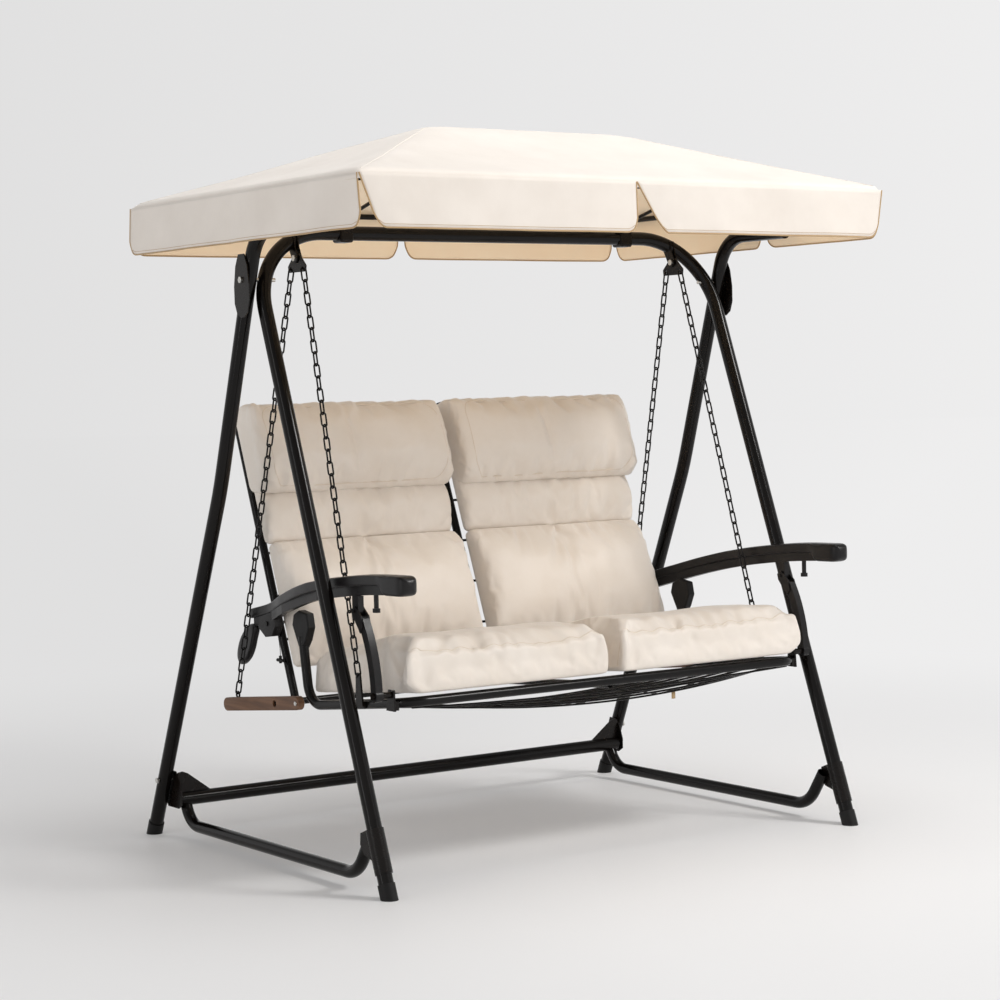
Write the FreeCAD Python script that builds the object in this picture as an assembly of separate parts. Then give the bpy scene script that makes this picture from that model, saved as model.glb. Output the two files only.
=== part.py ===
import FreeCAD, Part
import math
import os

# Canopy swing bench, millimetres.
# Origin: centre of the footprint on the floor. +Z up, the seat faces -Y, +X is the right side
# seen from the front. Everything is symmetric about the plane X = 0, so most pieces are drawn
# for the right side and mirrored for the left.

Vector = FreeCAD.Vector

# Stand tubes
TUBE_R = 19.0
TUBE_WALL = 1.5
LEG_X = 736.0
FRONT_FOOT_Y = -557.0
BAR_Y = 45.0
BAR_Z = 1620.0
CORNER_R = 215.0
BAR_HALF = 505.0
SPIGOT_R = 17.3
SPIGOT_LENGTH = 48.0
REAR_FOOT = Vector(776.0, 609.0, 0.0)
REAR_KNEE = Vector(769.0, 176.0, 961.0)
REAR_TOP = Vector(763.0, -43.0, 1622.0)
REAR_ARM_END_Y = -300.0
REAR_KNEE_R = 900.0
REAR_TOP_R = 110.0
CAP_WALL = 2.5
CAP_HEIGHT = 38.0
CAP_SOLE = 4.0
CAP_REACH = (TUBE_R + CAP_WALL) * math.hypot(1.0, (REAR_FOOT.y - REAR_KNEE.y) / REAR_KNEE.z)

PLATE_X = REAR_TOP.x + TUBE_R + 2.6
PLATE_THICK = 3.0
JOINT_BOLT_Y = -1.5
JOINT_BOLT_Z = 1495.0

# Base of the stand
CROSSBAR_Y = 505.0
CROSSBAR_Z = 105.0
CROSSBAR_HALF = 751.0
BASE_BOLT_Y = 537.0
BASE_BOLT_Z = 158.0
SIDE_BAR_R = 16.0
SIDE_BAR_X = 727.0
SIDE_BAR_Z = 36.0

# Hangers and chains
HANGER_X = 615.0
PIVOT_Y = 14.0
PIVOT_Z = 1552.0
PIN_R = 5.0
RUNNING = 0.05
EYE_SPREAD = 30.0
EYE_Z = 1526.0
EYE_R = 4.5
WIRE_R = 2.25
LINK_LENGTH = 37.0
LINK_WIDTH = 14.5
LINK_PITCH = 32.0
FRONT_CHAIN_END = Vector(648.0, -293.0, 504.0)
REAR_CHAIN_END = Vector(655.0, 325.0, 403.0)

# Seat frame
SEAT_R = 12.5
SEAT_WALL = 1.2
RAIL_X = 628.0
FRONT_RAIL_Y = -474.0
FRONT_RAIL_Z = 452.0
RAIL_JOINT_Y = -392.0
RAIL_BEND = Vector(628.0, -15.0, 402.0)
RISER_TOP = Vector(628.0, 14.0, 578.0)
AXLE_Y = 108.0
AXLE_Z = 398.0
AXLE_R = 9.0
AXLE_HALF = 660.0
BEAM_X = 655.0
BEAM_THICK = 20.0
BEAM_HALF_HEIGHT = 18.0
BEAM_FRONT = Vector(BEAM_X, 0.0, 409.0)
BEAM_REAR = Vector(BEAM_X, 374.0, 371.0)
BEAM_BOLT_Y = -6.0
BEAM_BOLT_Z = 409.0
DECK_WIRE_R = 3.0
DECK_SAG = 46.0
DECK_WIRE_COUNT = 7

# Backrests and armrests
BACK_R = 11.0
BACK_OUTER_X = 600.0
BACK_INNER_X = 21.0
BACK_SLOPE = 0.385
BACK_TOP_Z = 1160.0
BACK_CORNER_R = 55.0
LINK_DY = 78.0
LINK_DZ = 202.0
SUPPORT_FOOT = Vector(0.0, -438.0, 470.0)
ARM_X = 684.0
ARM_BEND_X = 653.0
ARM_FRONT_Y = -606.0
ARM_REAR_Y = 290.0
ARM_REAR_Z = 632.0
ARM_FRONT_Z = 771.0
ARM_PAD_THICK = 26.0
ARM_RAIL_DEPTH = 50.0
LEVER_PIVOT_Y = 252.0
LEVER_PIVOT_Z = 599.0
BUTTON_Y = -446.0
NOSE_THICK = 50.0
NOSE_HALF_WIDTH = 27.0
NOSE_REAR_Y = -502.0

# Release cord under the left armrest: the points its centre line turns at
CORD_R = 0.9
CORD_TOP = Vector(-626.0, 148.0, 584.4)
CORD_POINTS = [CORD_TOP, Vector(-626.0, 148.0, 569.0), Vector(-626.0, 143.0, 552.0)]
CORD_POINTS += [Vector(-626.0, 139.0, 535.0), Vector(-626.0, 139.0, 518.0)]

# Cushions
CUSHION_X0 = 8.0
SEAT_CUSHION_X1 = 612.0
BACK_CUSHION_X1 = 610.0
SEAT_CORNER_X = 650.0
SEAT_CUSHION_FRONT = -514.0
SEAT_CUSHION_REAR = 28.0
BACK_CUSHION_THICK = 105.0
BACK_CUSHION_LOW = 76.0

# Canopy
CANOPY_X = 818.0
CANOPY_FRONT = -(REAR_FOOT.y + CAP_REACH)
CANOPY_REAR = 558.0
EAVE_Z = 1720.0
VALANCE_Z = 1588.0
RIDGE_Z = 1886.0
RIDGE_X = 310.0
RIDGE_Y = -150.0
CLOTH = 2.0
BOW_X = 458.0
HOOP_R = 8.0
BOW_R = 8.0
ROD_WALL = 1.2

SIDES = {"left": -1.0, "right": 1.0}


def unit(direction):
    return direction / direction.Length


def bent_path(points, radii):
    """A wire through the points, each inner corner rounded with its own radius."""
    edges = []
    start = points[0]
    for index, radius in enumerate(radii):
        corner = points[index + 1]
        back = unit(points[index] - corner)
        ahead = unit(points[index + 2] - corner)
        half_angle = back.getAngle(ahead) / 2.0
        reach = radius / math.tan(half_angle)
        first = corner + back * reach
        last = corner + ahead * reach
        centre = corner + unit(back + ahead) * (radius / math.sin(half_angle))
        middle = centre + unit(corner - centre) * radius
        edges.append(Part.LineSegment(start, first).toShape())
        edges.append(Part.Arc(first, middle, last).toShape())
        start = last
    edges.append(Part.LineSegment(start, points[-1]).toShape())
    return Part.Wire(edges)


def rod(points, radii, radius):
    """A solid round bar along a bent path."""
    path = bent_path(points, radii)
    section = Part.Wire(Part.makeCircle(radius, points[0], points[1] - points[0]))
    return path.makePipeShell([section], True, False)


def tube(points, radii, radius, wall):
    """A round tube along a bent path."""
    return rod(points, radii, radius).cut(rod(points, radii, radius - wall))


def straight(start, end, radius):
    return Part.makeCylinder(radius, (end - start).Length, start, end - start)


def straight_tube(start, end, radius, wall):
    return straight(start, end, radius).cut(straight(start, end, radius - wall))


def block(x0, x1, y0, y1, z0, z1):
    return Part.makeBox(x1 - x0, y1 - y0, z1 - z0, Vector(x0, y0, z0))


def side_plate(outline, x0, x1):
    """A plate lying in a YZ plane, from (y, z) corners, between two X values."""
    points = [Vector(x0, y, z) for y, z in outline]
    points.append(points[0])
    face = Part.Face(Part.makePolygon(points))
    return face.extrude(Vector(x1 - x0, 0.0, 0.0))


def x_cylinder(x0, x1, y, z, radius):
    return Part.makeCylinder(radius, x1 - x0, Vector(x0, y, z), Vector(1.0, 0.0, 0.0))


def mirrored(shape):
    return shape.mirror(Vector(0.0, 0.0, 0.0), Vector(1.0, 0.0, 0.0))


def on_side(shape, sign):
    return shape if sign > 0.0 else mirrored(shape)


def both(shape):
    return [shape, mirrored(shape)]


def rounded(shape, radius):
    """Round every edge, or leave the shape as it is where that fails."""
    try:
        result = shape.makeFillet(radius, shape.Edges)
    except Part.OCCError:
        return shape
    return result if result.isValid() and result.Volume > 0.0 else shape


def bolt_x(x_head, x_end, y, z, radius, head_radius, head_height):
    """A bolt along X: a hexagonal head outside x_head and a shank to x_end."""
    sign = 1.0 if x_head > x_end else -1.0
    corners = []
    for step in range(7):
        angle = math.radians(60.0 * step)
        corners.append(Vector(x_head, y + head_radius * math.cos(angle), z + head_radius * math.sin(angle)))
    head = Part.Face(Part.makePolygon(corners)).extrude(Vector(sign * head_height, 0.0, 0.0))
    shank = x_cylinder(min(x_head, x_end), max(x_head, x_end), y, z, radius)
    return head.fuse(shank).removeSplitter()


# ---------------------------------------------------------------- stand

LEG_SLOPE = (BAR_Y - FRONT_FOOT_Y) / BAR_Z
FLOOR_CUT = block(-1000.0, 1000.0, -1000.0, 1000.0, -200.0, CAP_SOLE)


def joint_bolt_hole():
    return x_cylinder(LEG_X - 60.0, LEG_X + 70.0, JOINT_BOLT_Y, JOINT_BOLT_Z, PIN_R)


def base_bolt_hole():
    return x_cylinder(CROSSBAR_HALF - 20.0, REAR_FOOT.x + 40.0, BASE_BOLT_Y, BASE_BOLT_Z, 4.0)


def front_leg_points():
    foot = Vector(LEG_X, FRONT_FOOT_Y, 0.0)
    corner = Vector(LEG_X, BAR_Y, BAR_Z)
    below = foot + (foot - corner) * 0.03
    return [below, corner, Vector(BAR_HALF, BAR_Y, BAR_Z)]


def front_leg():
    """Slanted leg with the big corner bend and a spigot that plugs into the top bar."""
    leg = tube(front_leg_points(), [CORNER_R], TUBE_R, TUBE_WALL).cut(FLOOR_CUT)
    leg = leg.cut(joint_bolt_hole())
    root = Vector(BAR_HALF + 8.0, BAR_Y, BAR_Z)
    mouth = Vector(BAR_HALF, BAR_Y, BAR_Z)
    spigot_end = Vector(BAR_HALF - SPIGOT_LENGTH, BAR_Y, BAR_Z)
    collar = straight_tube(mouth, root, TUBE_R - 1.0, TUBE_R - SPIGOT_R + 1.0)
    return leg.fuse(straight_tube(root, spigot_end, SPIGOT_R, TUBE_WALL)).fuse(collar)


def top_bar():
    start = Vector(-BAR_HALF, BAR_Y, BAR_Z)
    return straight_tube(start, Vector(BAR_HALF, BAR_Y, BAR_Z), TUBE_R, TUBE_WALL)


def rear_leg_points():
    below = REAR_FOOT + (REAR_FOOT - REAR_KNEE) * 0.04
    arm_end = Vector(REAR_TOP.x, REAR_ARM_END_Y, REAR_TOP.z)
    return [below, REAR_KNEE, REAR_TOP, arm_end]


def rear_leg():
    """Leg with a slack knee whose top bends forward into the canopy arm."""
    leg = tube(rear_leg_points(), [REAR_KNEE_R, REAR_TOP_R], TUBE_R, TUBE_WALL).cut(FLOOR_CUT)
    leg = leg.cut(joint_bolt_hole()).cut(base_bolt_hole())
    arm_end = rear_leg_points()[-1]
    plug = straight(arm_end, arm_end + Vector(0.0, 6.0, 0.0), TUBE_R - TUBE_WALL)
    return leg.fuse(plug)


def foot_cap(foot, direction):
    """Plastic cap round the end of a slanted tube, flat on the floor."""
    low = foot - direction * 30.0
    high = foot + direction * CAP_HEIGHT
    body = straight(low, high, TUBE_R + CAP_WALL)
    socket = straight(low, high + direction * 5.0, TUBE_R + 0.05)
    above = block(-1000.0, 1000.0, -1000.0, 1000.0, CAP_SOLE, 200.0)
    under = block(-1000.0, 1000.0, -1000.0, 1000.0, -200.0, 0.0)
    return body.cut(socket.common(above)).cut(under)


def foot_caps():
    front_foot = Vector(LEG_X, FRONT_FOOT_Y, 0.0)
    front_direction = unit(Vector(0.0, LEG_SLOPE, 1.0))
    rear_direction = unit(REAR_KNEE - REAR_FOOT)
    front = foot_cap(front_foot, front_direction)
    rear = foot_cap(REAR_FOOT, rear_direction)
    return both(front) + both(rear)


def joint_plate():
    """Slender rounded plate that ties the two legs together where they cross."""
    top = [(-18.0, 1560.0), (12.0, 1560.0), (28.0, 1530.0)]
    rear = [(37.0, 1480.0), (36.0, 1436.0), (24.0, 1410.0)]
    foot = [(6.0, 1400.0), (-12.0, 1400.0), (-30.0, 1412.0)]
    front = [(-40.0, 1440.0), (-40.0, 1484.0), (-32.0, 1530.0)]
    plate = side_plate(top + rear + foot + front, PLATE_X, PLATE_X + PLATE_THICK)
    return plate.cut(joint_bolt_hole())


def joint_bolt():
    """Through bolt that holds both legs and the plate at the crossing."""
    return bolt_x(PLATE_X + PLATE_THICK, LEG_X - 45.0, JOINT_BOLT_Y, JOINT_BOLT_Z, PIN_R - 0.05, 9.0, 5.0)


def hanger_bracket():
    """Two cheeks under the corner of the top bar that carry the hanger pin."""
    outline = [(18.0, 1612.0), (52.0, 1622.0), (60.0, 1604.0), (44.0, 1578.0), (26.0, 1546.0)]
    outline += [(14.0, 1539.0), (2.0, 1546.0), (2.0, 1558.0), (12.0, 1580.0)]
    corner_tube = rod(front_leg_points(), [CORNER_R], TUBE_R + 0.02)
    cheeks = []
    for x0 in (HANGER_X - 7.0, HANGER_X + 4.0):
        cheek = side_plate(outline, x0, x0 + 3.0)
        cheeks.append(cheek)
    web = block(HANGER_X - 5.0, HANGER_X + 5.0, 36.0, 42.0, 1572.0, 1600.0)
    bracket = cheeks[0].fuse(cheeks[1]).fuse(web).cut(corner_tube)
    bracket = bracket.cut(x_cylinder(HANGER_X - 10.0, HANGER_X + 10.0, PIVOT_Y, PIVOT_Z, PIN_R + 0.02))
    return max(bracket.Solids, key=lambda solid: solid.Volume)


def hanger_pin():
    pin = bolt_x(HANGER_X + 7.1, HANGER_X - 12.0, PIVOT_Y, PIVOT_Z, PIN_R, 8.5, 5.0)
    return pin.fuse(x_cylinder(HANGER_X - 12.0, HANGER_X - 7.1, PIVOT_Y, PIVOT_Z, 8.0)).removeSplitter()


def rear_crossbar():
    start = Vector(-CROSSBAR_HALF, CROSSBAR_Y, CROSSBAR_Z)
    end = Vector(CROSSBAR_HALF, CROSSBAR_Y, CROSSBAR_Z)
    return straight_tube(start, end, TUBE_R, TUBE_WALL)


def base_bracket():
    """Plate beside the rear leg, and the upright gusset that stands on the crossbar."""
    x0 = CROSSBAR_HALF + 0.1
    outline = [(480.0, 92.0), (480.0, 122.0), (494.0, 160.0), (514.0, 181.0), (541.0, 182.0)]
    outline += [(574.0, 96.0), (562.0, 80.0), (500.0, 80.0)]
    plate = side_plate(outline, x0, x0 + 3.0)
    crossbar_top = CROSSBAR_Z + TUBE_R
    corners = [(652.0, crossbar_top - 2.0), (x0 + 0.5, crossbar_top - 2.0), (x0 + 0.5, 178.0), (737.0, 180.0)]
    corners.append((722.0, 174.0))
    points = [Vector(x, CROSSBAR_Y - 1.5, z) for x, z in corners]
    points.append(points[0])
    gusset = Part.Face(Part.makePolygon(points)).extrude(Vector(0.0, 3.0, 0.0))
    bar = x_cylinder(-CROSSBAR_HALF, CROSSBAR_HALF, CROSSBAR_Y, CROSSBAR_Z, TUBE_R + 0.02)
    leg = straight(REAR_FOOT, REAR_KNEE, TUBE_R + 0.02)
    return plate.fuse(gusset.cut(bar)).cut(leg).cut(base_bolt_hole()).removeSplitter()


def base_bolt():
    """Bolt from the rear leg into the side plate of the base bracket."""
    return bolt_x(REAR_FOOT.x + TUBE_R + 0.5, CROSSBAR_HALF - 5.0, BASE_BOLT_Y, BASE_BOLT_Z, 3.95, 8.0, 5.0)


def side_bar_points():
    points = [Vector(SIDE_BAR_X, 512.0, 96.0), Vector(SIDE_BAR_X, 478.0, SIDE_BAR_Z)]
    return points + [Vector(SIDE_BAR_X, -398.0, SIDE_BAR_Z), Vector(SIDE_BAR_X, -462.0, 132.0)]


SIDE_BAR_BENDS = [75.0, 90.0]


def side_bar():
    """Low bar along the side of the base, turned up at both ends."""
    bar = tube(side_bar_points(), SIDE_BAR_BENDS, SIDE_BAR_R, TUBE_WALL)
    crossbar = x_cylinder(-CROSSBAR_HALF, CROSSBAR_HALF, CROSSBAR_Y, CROSSBAR_Z, TUBE_R + 0.02)
    cut_bar = bar.cut(crossbar)
    return max(cut_bar.Solids, key=lambda solid: solid.BoundBox.YLength)


def side_bar_clamp():
    """Sleeve on the front leg with a tongue that holds the end of the side bar."""
    foot = Vector(LEG_X, FRONT_FOOT_Y, 0.0)
    direction = unit(Vector(0.0, LEG_SLOPE, 1.0))
    sleeve = straight(foot + direction * 62.0, foot + direction * 172.0, TUBE_R + 3.0)
    tongue_outline = [(-540.0, 76.0), (-462.0, 96.0), (-446.0, 118.0), (-448.0, 146.0), (-505.0, 168.0)]
    tongue = side_plate(tongue_outline, SIDE_BAR_X + 6.0, SIDE_BAR_X + 20.0)
    bar = rod(side_bar_points(), SIDE_BAR_BENDS, SIDE_BAR_R + 0.02)
    leg = straight(foot, foot + direction * 300.0, TUBE_R + 0.02)
    return sleeve.fuse(tongue).cut(leg).cut(bar).removeSplitter()


# ---------------------------------------------------------------- hangers and chains

def hanger_yoke():
    """Rocking plate on the hanger pin with one eye for each chain."""
    outline = [(4.0, 1564.0), (24.0, 1564.0), (58.0, 1532.0), (56.0, 1516.0)]
    outline += [(-28.0, 1516.0), (-30.0, 1532.0)]
    plate = side_plate(outline, HANGER_X - 2.5, HANGER_X + 2.5)
    plate = plate.cut(x_cylinder(HANGER_X - 5.0, HANGER_X + 5.0, PIVOT_Y, PIVOT_Z, PIN_R + RUNNING))
    for y in (PIVOT_Y - EYE_SPREAD, PIVOT_Y + EYE_SPREAD):
        plate = plate.cut(x_cylinder(HANGER_X - 5.0, HANGER_X + 5.0, y, EYE_Z, EYE_R))
    return plate


def chain_link():
    """One oval link, long side on Z and width on X, centred on the origin."""
    half_width = LINK_WIDTH / 2.0
    half_run = (LINK_LENGTH - LINK_WIDTH) / 2.0
    upper = Part.Arc(Vector(-half_width, 0.0, half_run), Vector(0.0, 0.0, LINK_LENGTH / 2.0),
                     Vector(half_width, 0.0, half_run)).toShape()
    lower = Part.Arc(Vector(half_width, 0.0, -half_run), Vector(0.0, 0.0, -LINK_LENGTH / 2.0),
                     Vector(-half_width, 0.0, -half_run)).toShape()
    right = Part.LineSegment(Vector(half_width, 0.0, half_run), Vector(half_width, 0.0, -half_run)).toShape()
    left = Part.LineSegment(Vector(-half_width, 0.0, -half_run), Vector(-half_width, 0.0, half_run)).toShape()
    path = Part.Wire([upper, right, lower, left])
    section = Part.Wire(Part.makeCircle(WIRE_R, Vector(-half_width, 0.0, half_run), Vector(0.0, 0.0, 1.0)))
    return path.makePipeShell([section], True, False)


def chain(top, bottom):
    """Links from the top eye to the bottom eye, each turned a quarter on the last."""
    direction = unit(bottom - top)
    span = (bottom - top).Length - LINK_LENGTH
    steps = 2 * math.ceil(span / LINK_PITCH / 2.0)
    pitch = span / steps
    print("chain links", steps + 1, "pitch", round(pitch, 2))
    lean = FreeCAD.Rotation(Vector(0.0, 0.0, -1.0), direction)
    link = chain_link()
    links = []
    for index in range(steps + 1):
        turn = FreeCAD.Rotation(Vector(0.0, 0.0, 1.0), 90.0 * (index % 2))
        centre = top + direction * (LINK_LENGTH / 2.0 + pitch * index)
        placed = link.copy()
        placed.Placement = FreeCAD.Placement(centre, lean.multiply(turn))
        links.append(placed)
    return links


def chain_pair(eye_offset, bottom):
    top = Vector(HANGER_X, PIVOT_Y + eye_offset, EYE_Z)
    right = chain(top, bottom)
    return right + [mirrored(link) for link in right]


def front_chain_lug():
    """Eye plate on the side rail for the lower end of the front chain."""
    end = FRONT_CHAIN_END
    outline = [(end.y - 9.0, end.z + 8.0), (end.y + 9.0, end.z + 8.0), (end.y + 12.0, 430.0)]
    outline.append((end.y - 20.0, 430.0))
    plate = side_plate(outline, end.x - 2.5, end.x + 2.5)
    foot = block(RAIL_X + 4.0, end.x - 2.0, end.y - 18.0, end.y + 10.0, 424.0, 442.0)
    rail = straight(Vector(RAIL_X, RAIL_JOINT_Y, 443.0), RAIL_BEND, SEAT_R + 0.02)
    lug = plate.fuse(foot).cut(rail)
    return lug.cut(x_cylinder(end.x - 5.0, end.x + 5.0, end.y, end.z, EYE_R)).removeSplitter()


def rear_chain_eye():
    """Eye bolt in the top of the wooden beam for the lower end of the rear chain."""
    end = REAR_CHAIN_END
    ring = Part.makeTorus(8.0, 2.6, end - Vector(0.0, 0.0, 2.5), Vector(1.0, 0.0, 0.0))
    shank_top = end - Vector(0.0, 0.0, 11.5)
    shank = straight(shank_top, shank_top - Vector(0.0, 0.0, 34.0), 3.0)
    return ring.fuse(shank).removeSplitter()


# ---------------------------------------------------------------- seat

FRONT_RAIL_BENDS = [60.0, 60.0]


def seat_front_rail_points():
    side_y = RAIL_JOINT_Y - 0.2
    points = [Vector(-RAIL_X, side_y, 443.0), Vector(-RAIL_X, FRONT_RAIL_Y, FRONT_RAIL_Z)]
    return points + [Vector(RAIL_X, FRONT_RAIL_Y, FRONT_RAIL_Z), Vector(RAIL_X, side_y, 443.0)]


def seat_front_rail():
    return tube(seat_front_rail_points(), FRONT_RAIL_BENDS, SEAT_R, SEAT_WALL)


def seat_side_rail():
    """Side rail of the seat that turns up into the riser of the recline lock."""
    start = Vector(RAIL_X, RAIL_JOINT_Y, 443.0)
    rail = tube([start, RAIL_BEND, RISER_TOP], [60.0], SEAT_R, SEAT_WALL)
    return rail.cut(beam_bolt_hole())


def beam_bolt_hole():
    return x_cylinder(RAIL_X, BEAM_X + 20.0, BEAM_BOLT_Y, BEAM_BOLT_Z, 3.02)


def seat_rear_axle():
    start = Vector(-AXLE_HALF, AXLE_Y, AXLE_Z)
    return straight_tube(start, Vector(AXLE_HALF, AXLE_Y, AXLE_Z), AXLE_R, 2.0)


def seat_centre_rail():
    """Middle rail from the front rail to the rear axle."""
    start = Vector(0.0, FRONT_RAIL_Y + 8.0, 440.0)
    end = Vector(0.0, AXLE_Y - 4.0, 402.0)
    rail = straight_tube(start, end, 9.0, SEAT_WALL)
    front = x_cylinder(-50.0, 50.0, FRONT_RAIL_Y, FRONT_RAIL_Z, SEAT_R + 0.02)
    axle = x_cylinder(-50.0, 50.0, AXLE_Y, AXLE_Z, AXLE_R + 0.02)
    cut_rail = rail.cut(front).cut(axle)
    return max(cut_rail.Solids, key=lambda solid: solid.Volume)


def rail_height(y):
    """Centre height of the side rail at a depth."""
    share = (y - RAIL_JOINT_Y) / (RAIL_BEND.y - RAIL_JOINT_Y)
    return 443.0 + (RAIL_BEND.z - 443.0) * share


def deck_wire(y):
    """One sagging wire of the seat deck, hooked between the two side rails."""
    half = RAIL_X - SEAT_R - 0.3
    z = rail_height(y)
    radius = (half * half + DECK_SAG * DECK_SAG) / (2.0 * DECK_SAG)
    tangent = Vector(radius - DECK_SAG, 0.0, -half)
    arc = Part.Arc(Vector(-half, y, z), Vector(0.0, y, z - DECK_SAG), Vector(half, y, z)).toShape()
    section = Part.Wire(Part.makeCircle(DECK_WIRE_R, Vector(-half, y, z), tangent))
    return Part.Wire(arc).makePipeShell([section], True, False)


def seat_deck_wires():
    centre_rail = straight(Vector(0.0, FRONT_RAIL_Y, 440.0), Vector(0.0, AXLE_Y, 402.0), 9.5)
    first = RAIL_JOINT_Y + 10.0
    step = (RAIL_BEND.y - 45.0 - first) / (DECK_WIRE_COUNT - 1)
    return [deck_wire(first + step * index).cut(centre_rail) for index in range(DECK_WIRE_COUNT)]


def wood_beam():
    """Wooden beam beside the seat, rounded at its ends, pierced by the rear axle."""
    dy = BEAM_REAR.y - BEAM_FRONT.y
    dz = BEAM_REAR.z - BEAM_FRONT.z
    length = math.hypot(dy, dz)
    ny = -dz / length * BEAM_HALF_HEIGHT
    nz = dy / length * BEAM_HALF_HEIGHT
    x0 = BEAM_X - BEAM_THICK / 2.0
    x1 = BEAM_X + BEAM_THICK / 2.0
    outline = [(BEAM_FRONT.y - ny, BEAM_FRONT.z - nz), (BEAM_REAR.y - ny, BEAM_REAR.z - nz)]
    outline += [(BEAM_REAR.y + ny, BEAM_REAR.z + nz), (BEAM_FRONT.y + ny, BEAM_FRONT.z + nz)]
    beam = side_plate(outline, x0, x1)
    for end in (BEAM_FRONT, BEAM_REAR):
        beam = beam.fuse(x_cylinder(x0, x1, end.y, end.z, BEAM_HALF_HEIGHT))
    beam = rounded(beam.removeSplitter(), 3.0)
    beam = beam.cut(x_cylinder(x0 - 5.0, x1 + 5.0, AXLE_Y, AXLE_Z, AXLE_R + 0.02))
    return beam.cut(rear_chain_eye()).cut(beam_bolt_hole())


def beam_bolt():
    """Bolt that holds the front of the beam to the side rail."""
    x_head = BEAM_X + BEAM_THICK / 2.0 + 0.1
    return bolt_x(x_head, RAIL_X + SEAT_R - 1.0, BEAM_BOLT_Y, BEAM_BOLT_Z, 3.0, 6.0, 3.0)


def recline_lock():
    """Shield-shaped housing on top of the riser, for the lock of the backrest."""
    top = [(-22.0, 640.0), (20.0, 646.0), (46.0, 634.0), (54.0, 606.0)]
    tip = [(36.0, 574.0), (22.0, 550.0), (4.0, 548.0), (-14.0, 570.0), (-30.0, 604.0)]
    shell = rounded(side_plate(top + tip, 613.5, 637.0), 4.0)
    riser = straight(RAIL_BEND, RISER_TOP + unit(RISER_TOP - RAIL_BEND) * 0.02, SEAT_R + 0.02)
    return shell.cut(riser)


# ---------------------------------------------------------------- backrests

BACK_LEAN = math.atan(BACK_SLOPE)
BACK_UP = Vector(0.0, math.sin(BACK_LEAN), math.cos(BACK_LEAN))
BACK_FORWARD = Vector(0.0, -math.cos(BACK_LEAN), math.sin(BACK_LEAN))
BACK_LENGTH = (BACK_TOP_Z - AXLE_Z) / math.cos(BACK_LEAN)


def back_point(x, up, forward):
    """A point of the backrest from its distance up the back and in front of its tubes."""
    foot = Vector(x, AXLE_Y, AXLE_Z)
    return foot + BACK_UP * up + BACK_FORWARD * forward


def back_frame():
    """Bent tube of one backrest, with a bearing sleeve at each lower end."""
    start_up = AXLE_R + 3.0
    points = [back_point(BACK_OUTER_X, start_up, 0.0), back_point(BACK_OUTER_X, BACK_LENGTH, 0.0)]
    points += [back_point(BACK_INNER_X, BACK_LENGTH, 0.0), back_point(BACK_INNER_X, start_up, 0.0)]
    frame = tube(points, [BACK_CORNER_R, BACK_CORNER_R], BACK_R, SEAT_WALL)
    for x in (BACK_OUTER_X, BACK_INNER_X):
        frame = frame.fuse(x_cylinder(x - BACK_R, x + BACK_R, AXLE_Y, AXLE_Z, AXLE_R + 4.0))
    frame = frame.cut(x_cylinder(0.0, 700.0, AXLE_Y, AXLE_Z, AXLE_R + RUNNING))
    pin_y = AXLE_Y + LINK_DY
    pin_z = AXLE_Z + LINK_DZ
    return frame.cut(x_cylinder(BACK_OUTER_X - 14.0, BACK_OUTER_X + 14.0, pin_y, pin_z, PIN_R + 0.02))


def arm_pin():
    """Pin through the outer back tube on which the armrest turns."""
    pin_y = AXLE_Y + LINK_DY
    pin_z = AXLE_Z + LINK_DZ
    pin = x_cylinder(BACK_OUTER_X - 13.0, 639.5, pin_y, pin_z, PIN_R)
    return pin.fuse(x_cylinder(639.3, 641.5, pin_y, pin_z, PIN_R + 1.5)).removeSplitter()


def back_slats():
    """Cross wires that carry the back cushion."""
    x0 = BACK_INNER_X + BACK_R + 0.3
    x1 = BACK_OUTER_X - BACK_R - 0.3
    wires = []
    for up in (170.0, 290.0, 410.0, 530.0, 650.0):
        centre = back_point(0.0, up, 0.0)
        wires.append(x_cylinder(x0, x1, centre.y, centre.z, 3.5))
    return wires


def back_cushion():
    """Plain solid of one back cushion in its three pillows: lower, middle and head."""
    bands = [(BACK_CUSHION_LOW, 424.0, BACK_CUSHION_THICK), (428.0, 570.0, BACK_CUSHION_THICK - 6.0)]
    bands.append((574.0, 836.0, BACK_CUSHION_THICK + 12.0))
    spine = None
    for low, high, thick in bands:
        corners = [back_point(CUSHION_X0, low, 14.0), back_point(CUSHION_X0, high, 14.0)]
        corners += [back_point(CUSHION_X0, high, thick), back_point(CUSHION_X0, low, thick)]
        corners.append(corners[0])
        face = Part.Face(Part.makePolygon(corners))
        pillow = rounded(face.extrude(Vector(BACK_CUSHION_X1 - CUSHION_X0, 0.0, 0.0)), 26.0)
        spine = pillow if spine is None else spine.fuse(pillow)
    corners = [back_point(CUSHION_X0 + 8.0, 210.0, 22.0), back_point(CUSHION_X0 + 8.0, 800.0, 22.0)]
    corners += [back_point(CUSHION_X0 + 8.0, 800.0, 74.0), back_point(CUSHION_X0 + 8.0, 210.0, 74.0)]
    corners.append(corners[0])
    core = Part.Face(Part.makePolygon(corners)).extrude(Vector(BACK_CUSHION_X1 - CUSHION_X0 - 16.0, 0.0, 0.0))
    return spine.fuse(core)


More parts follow.
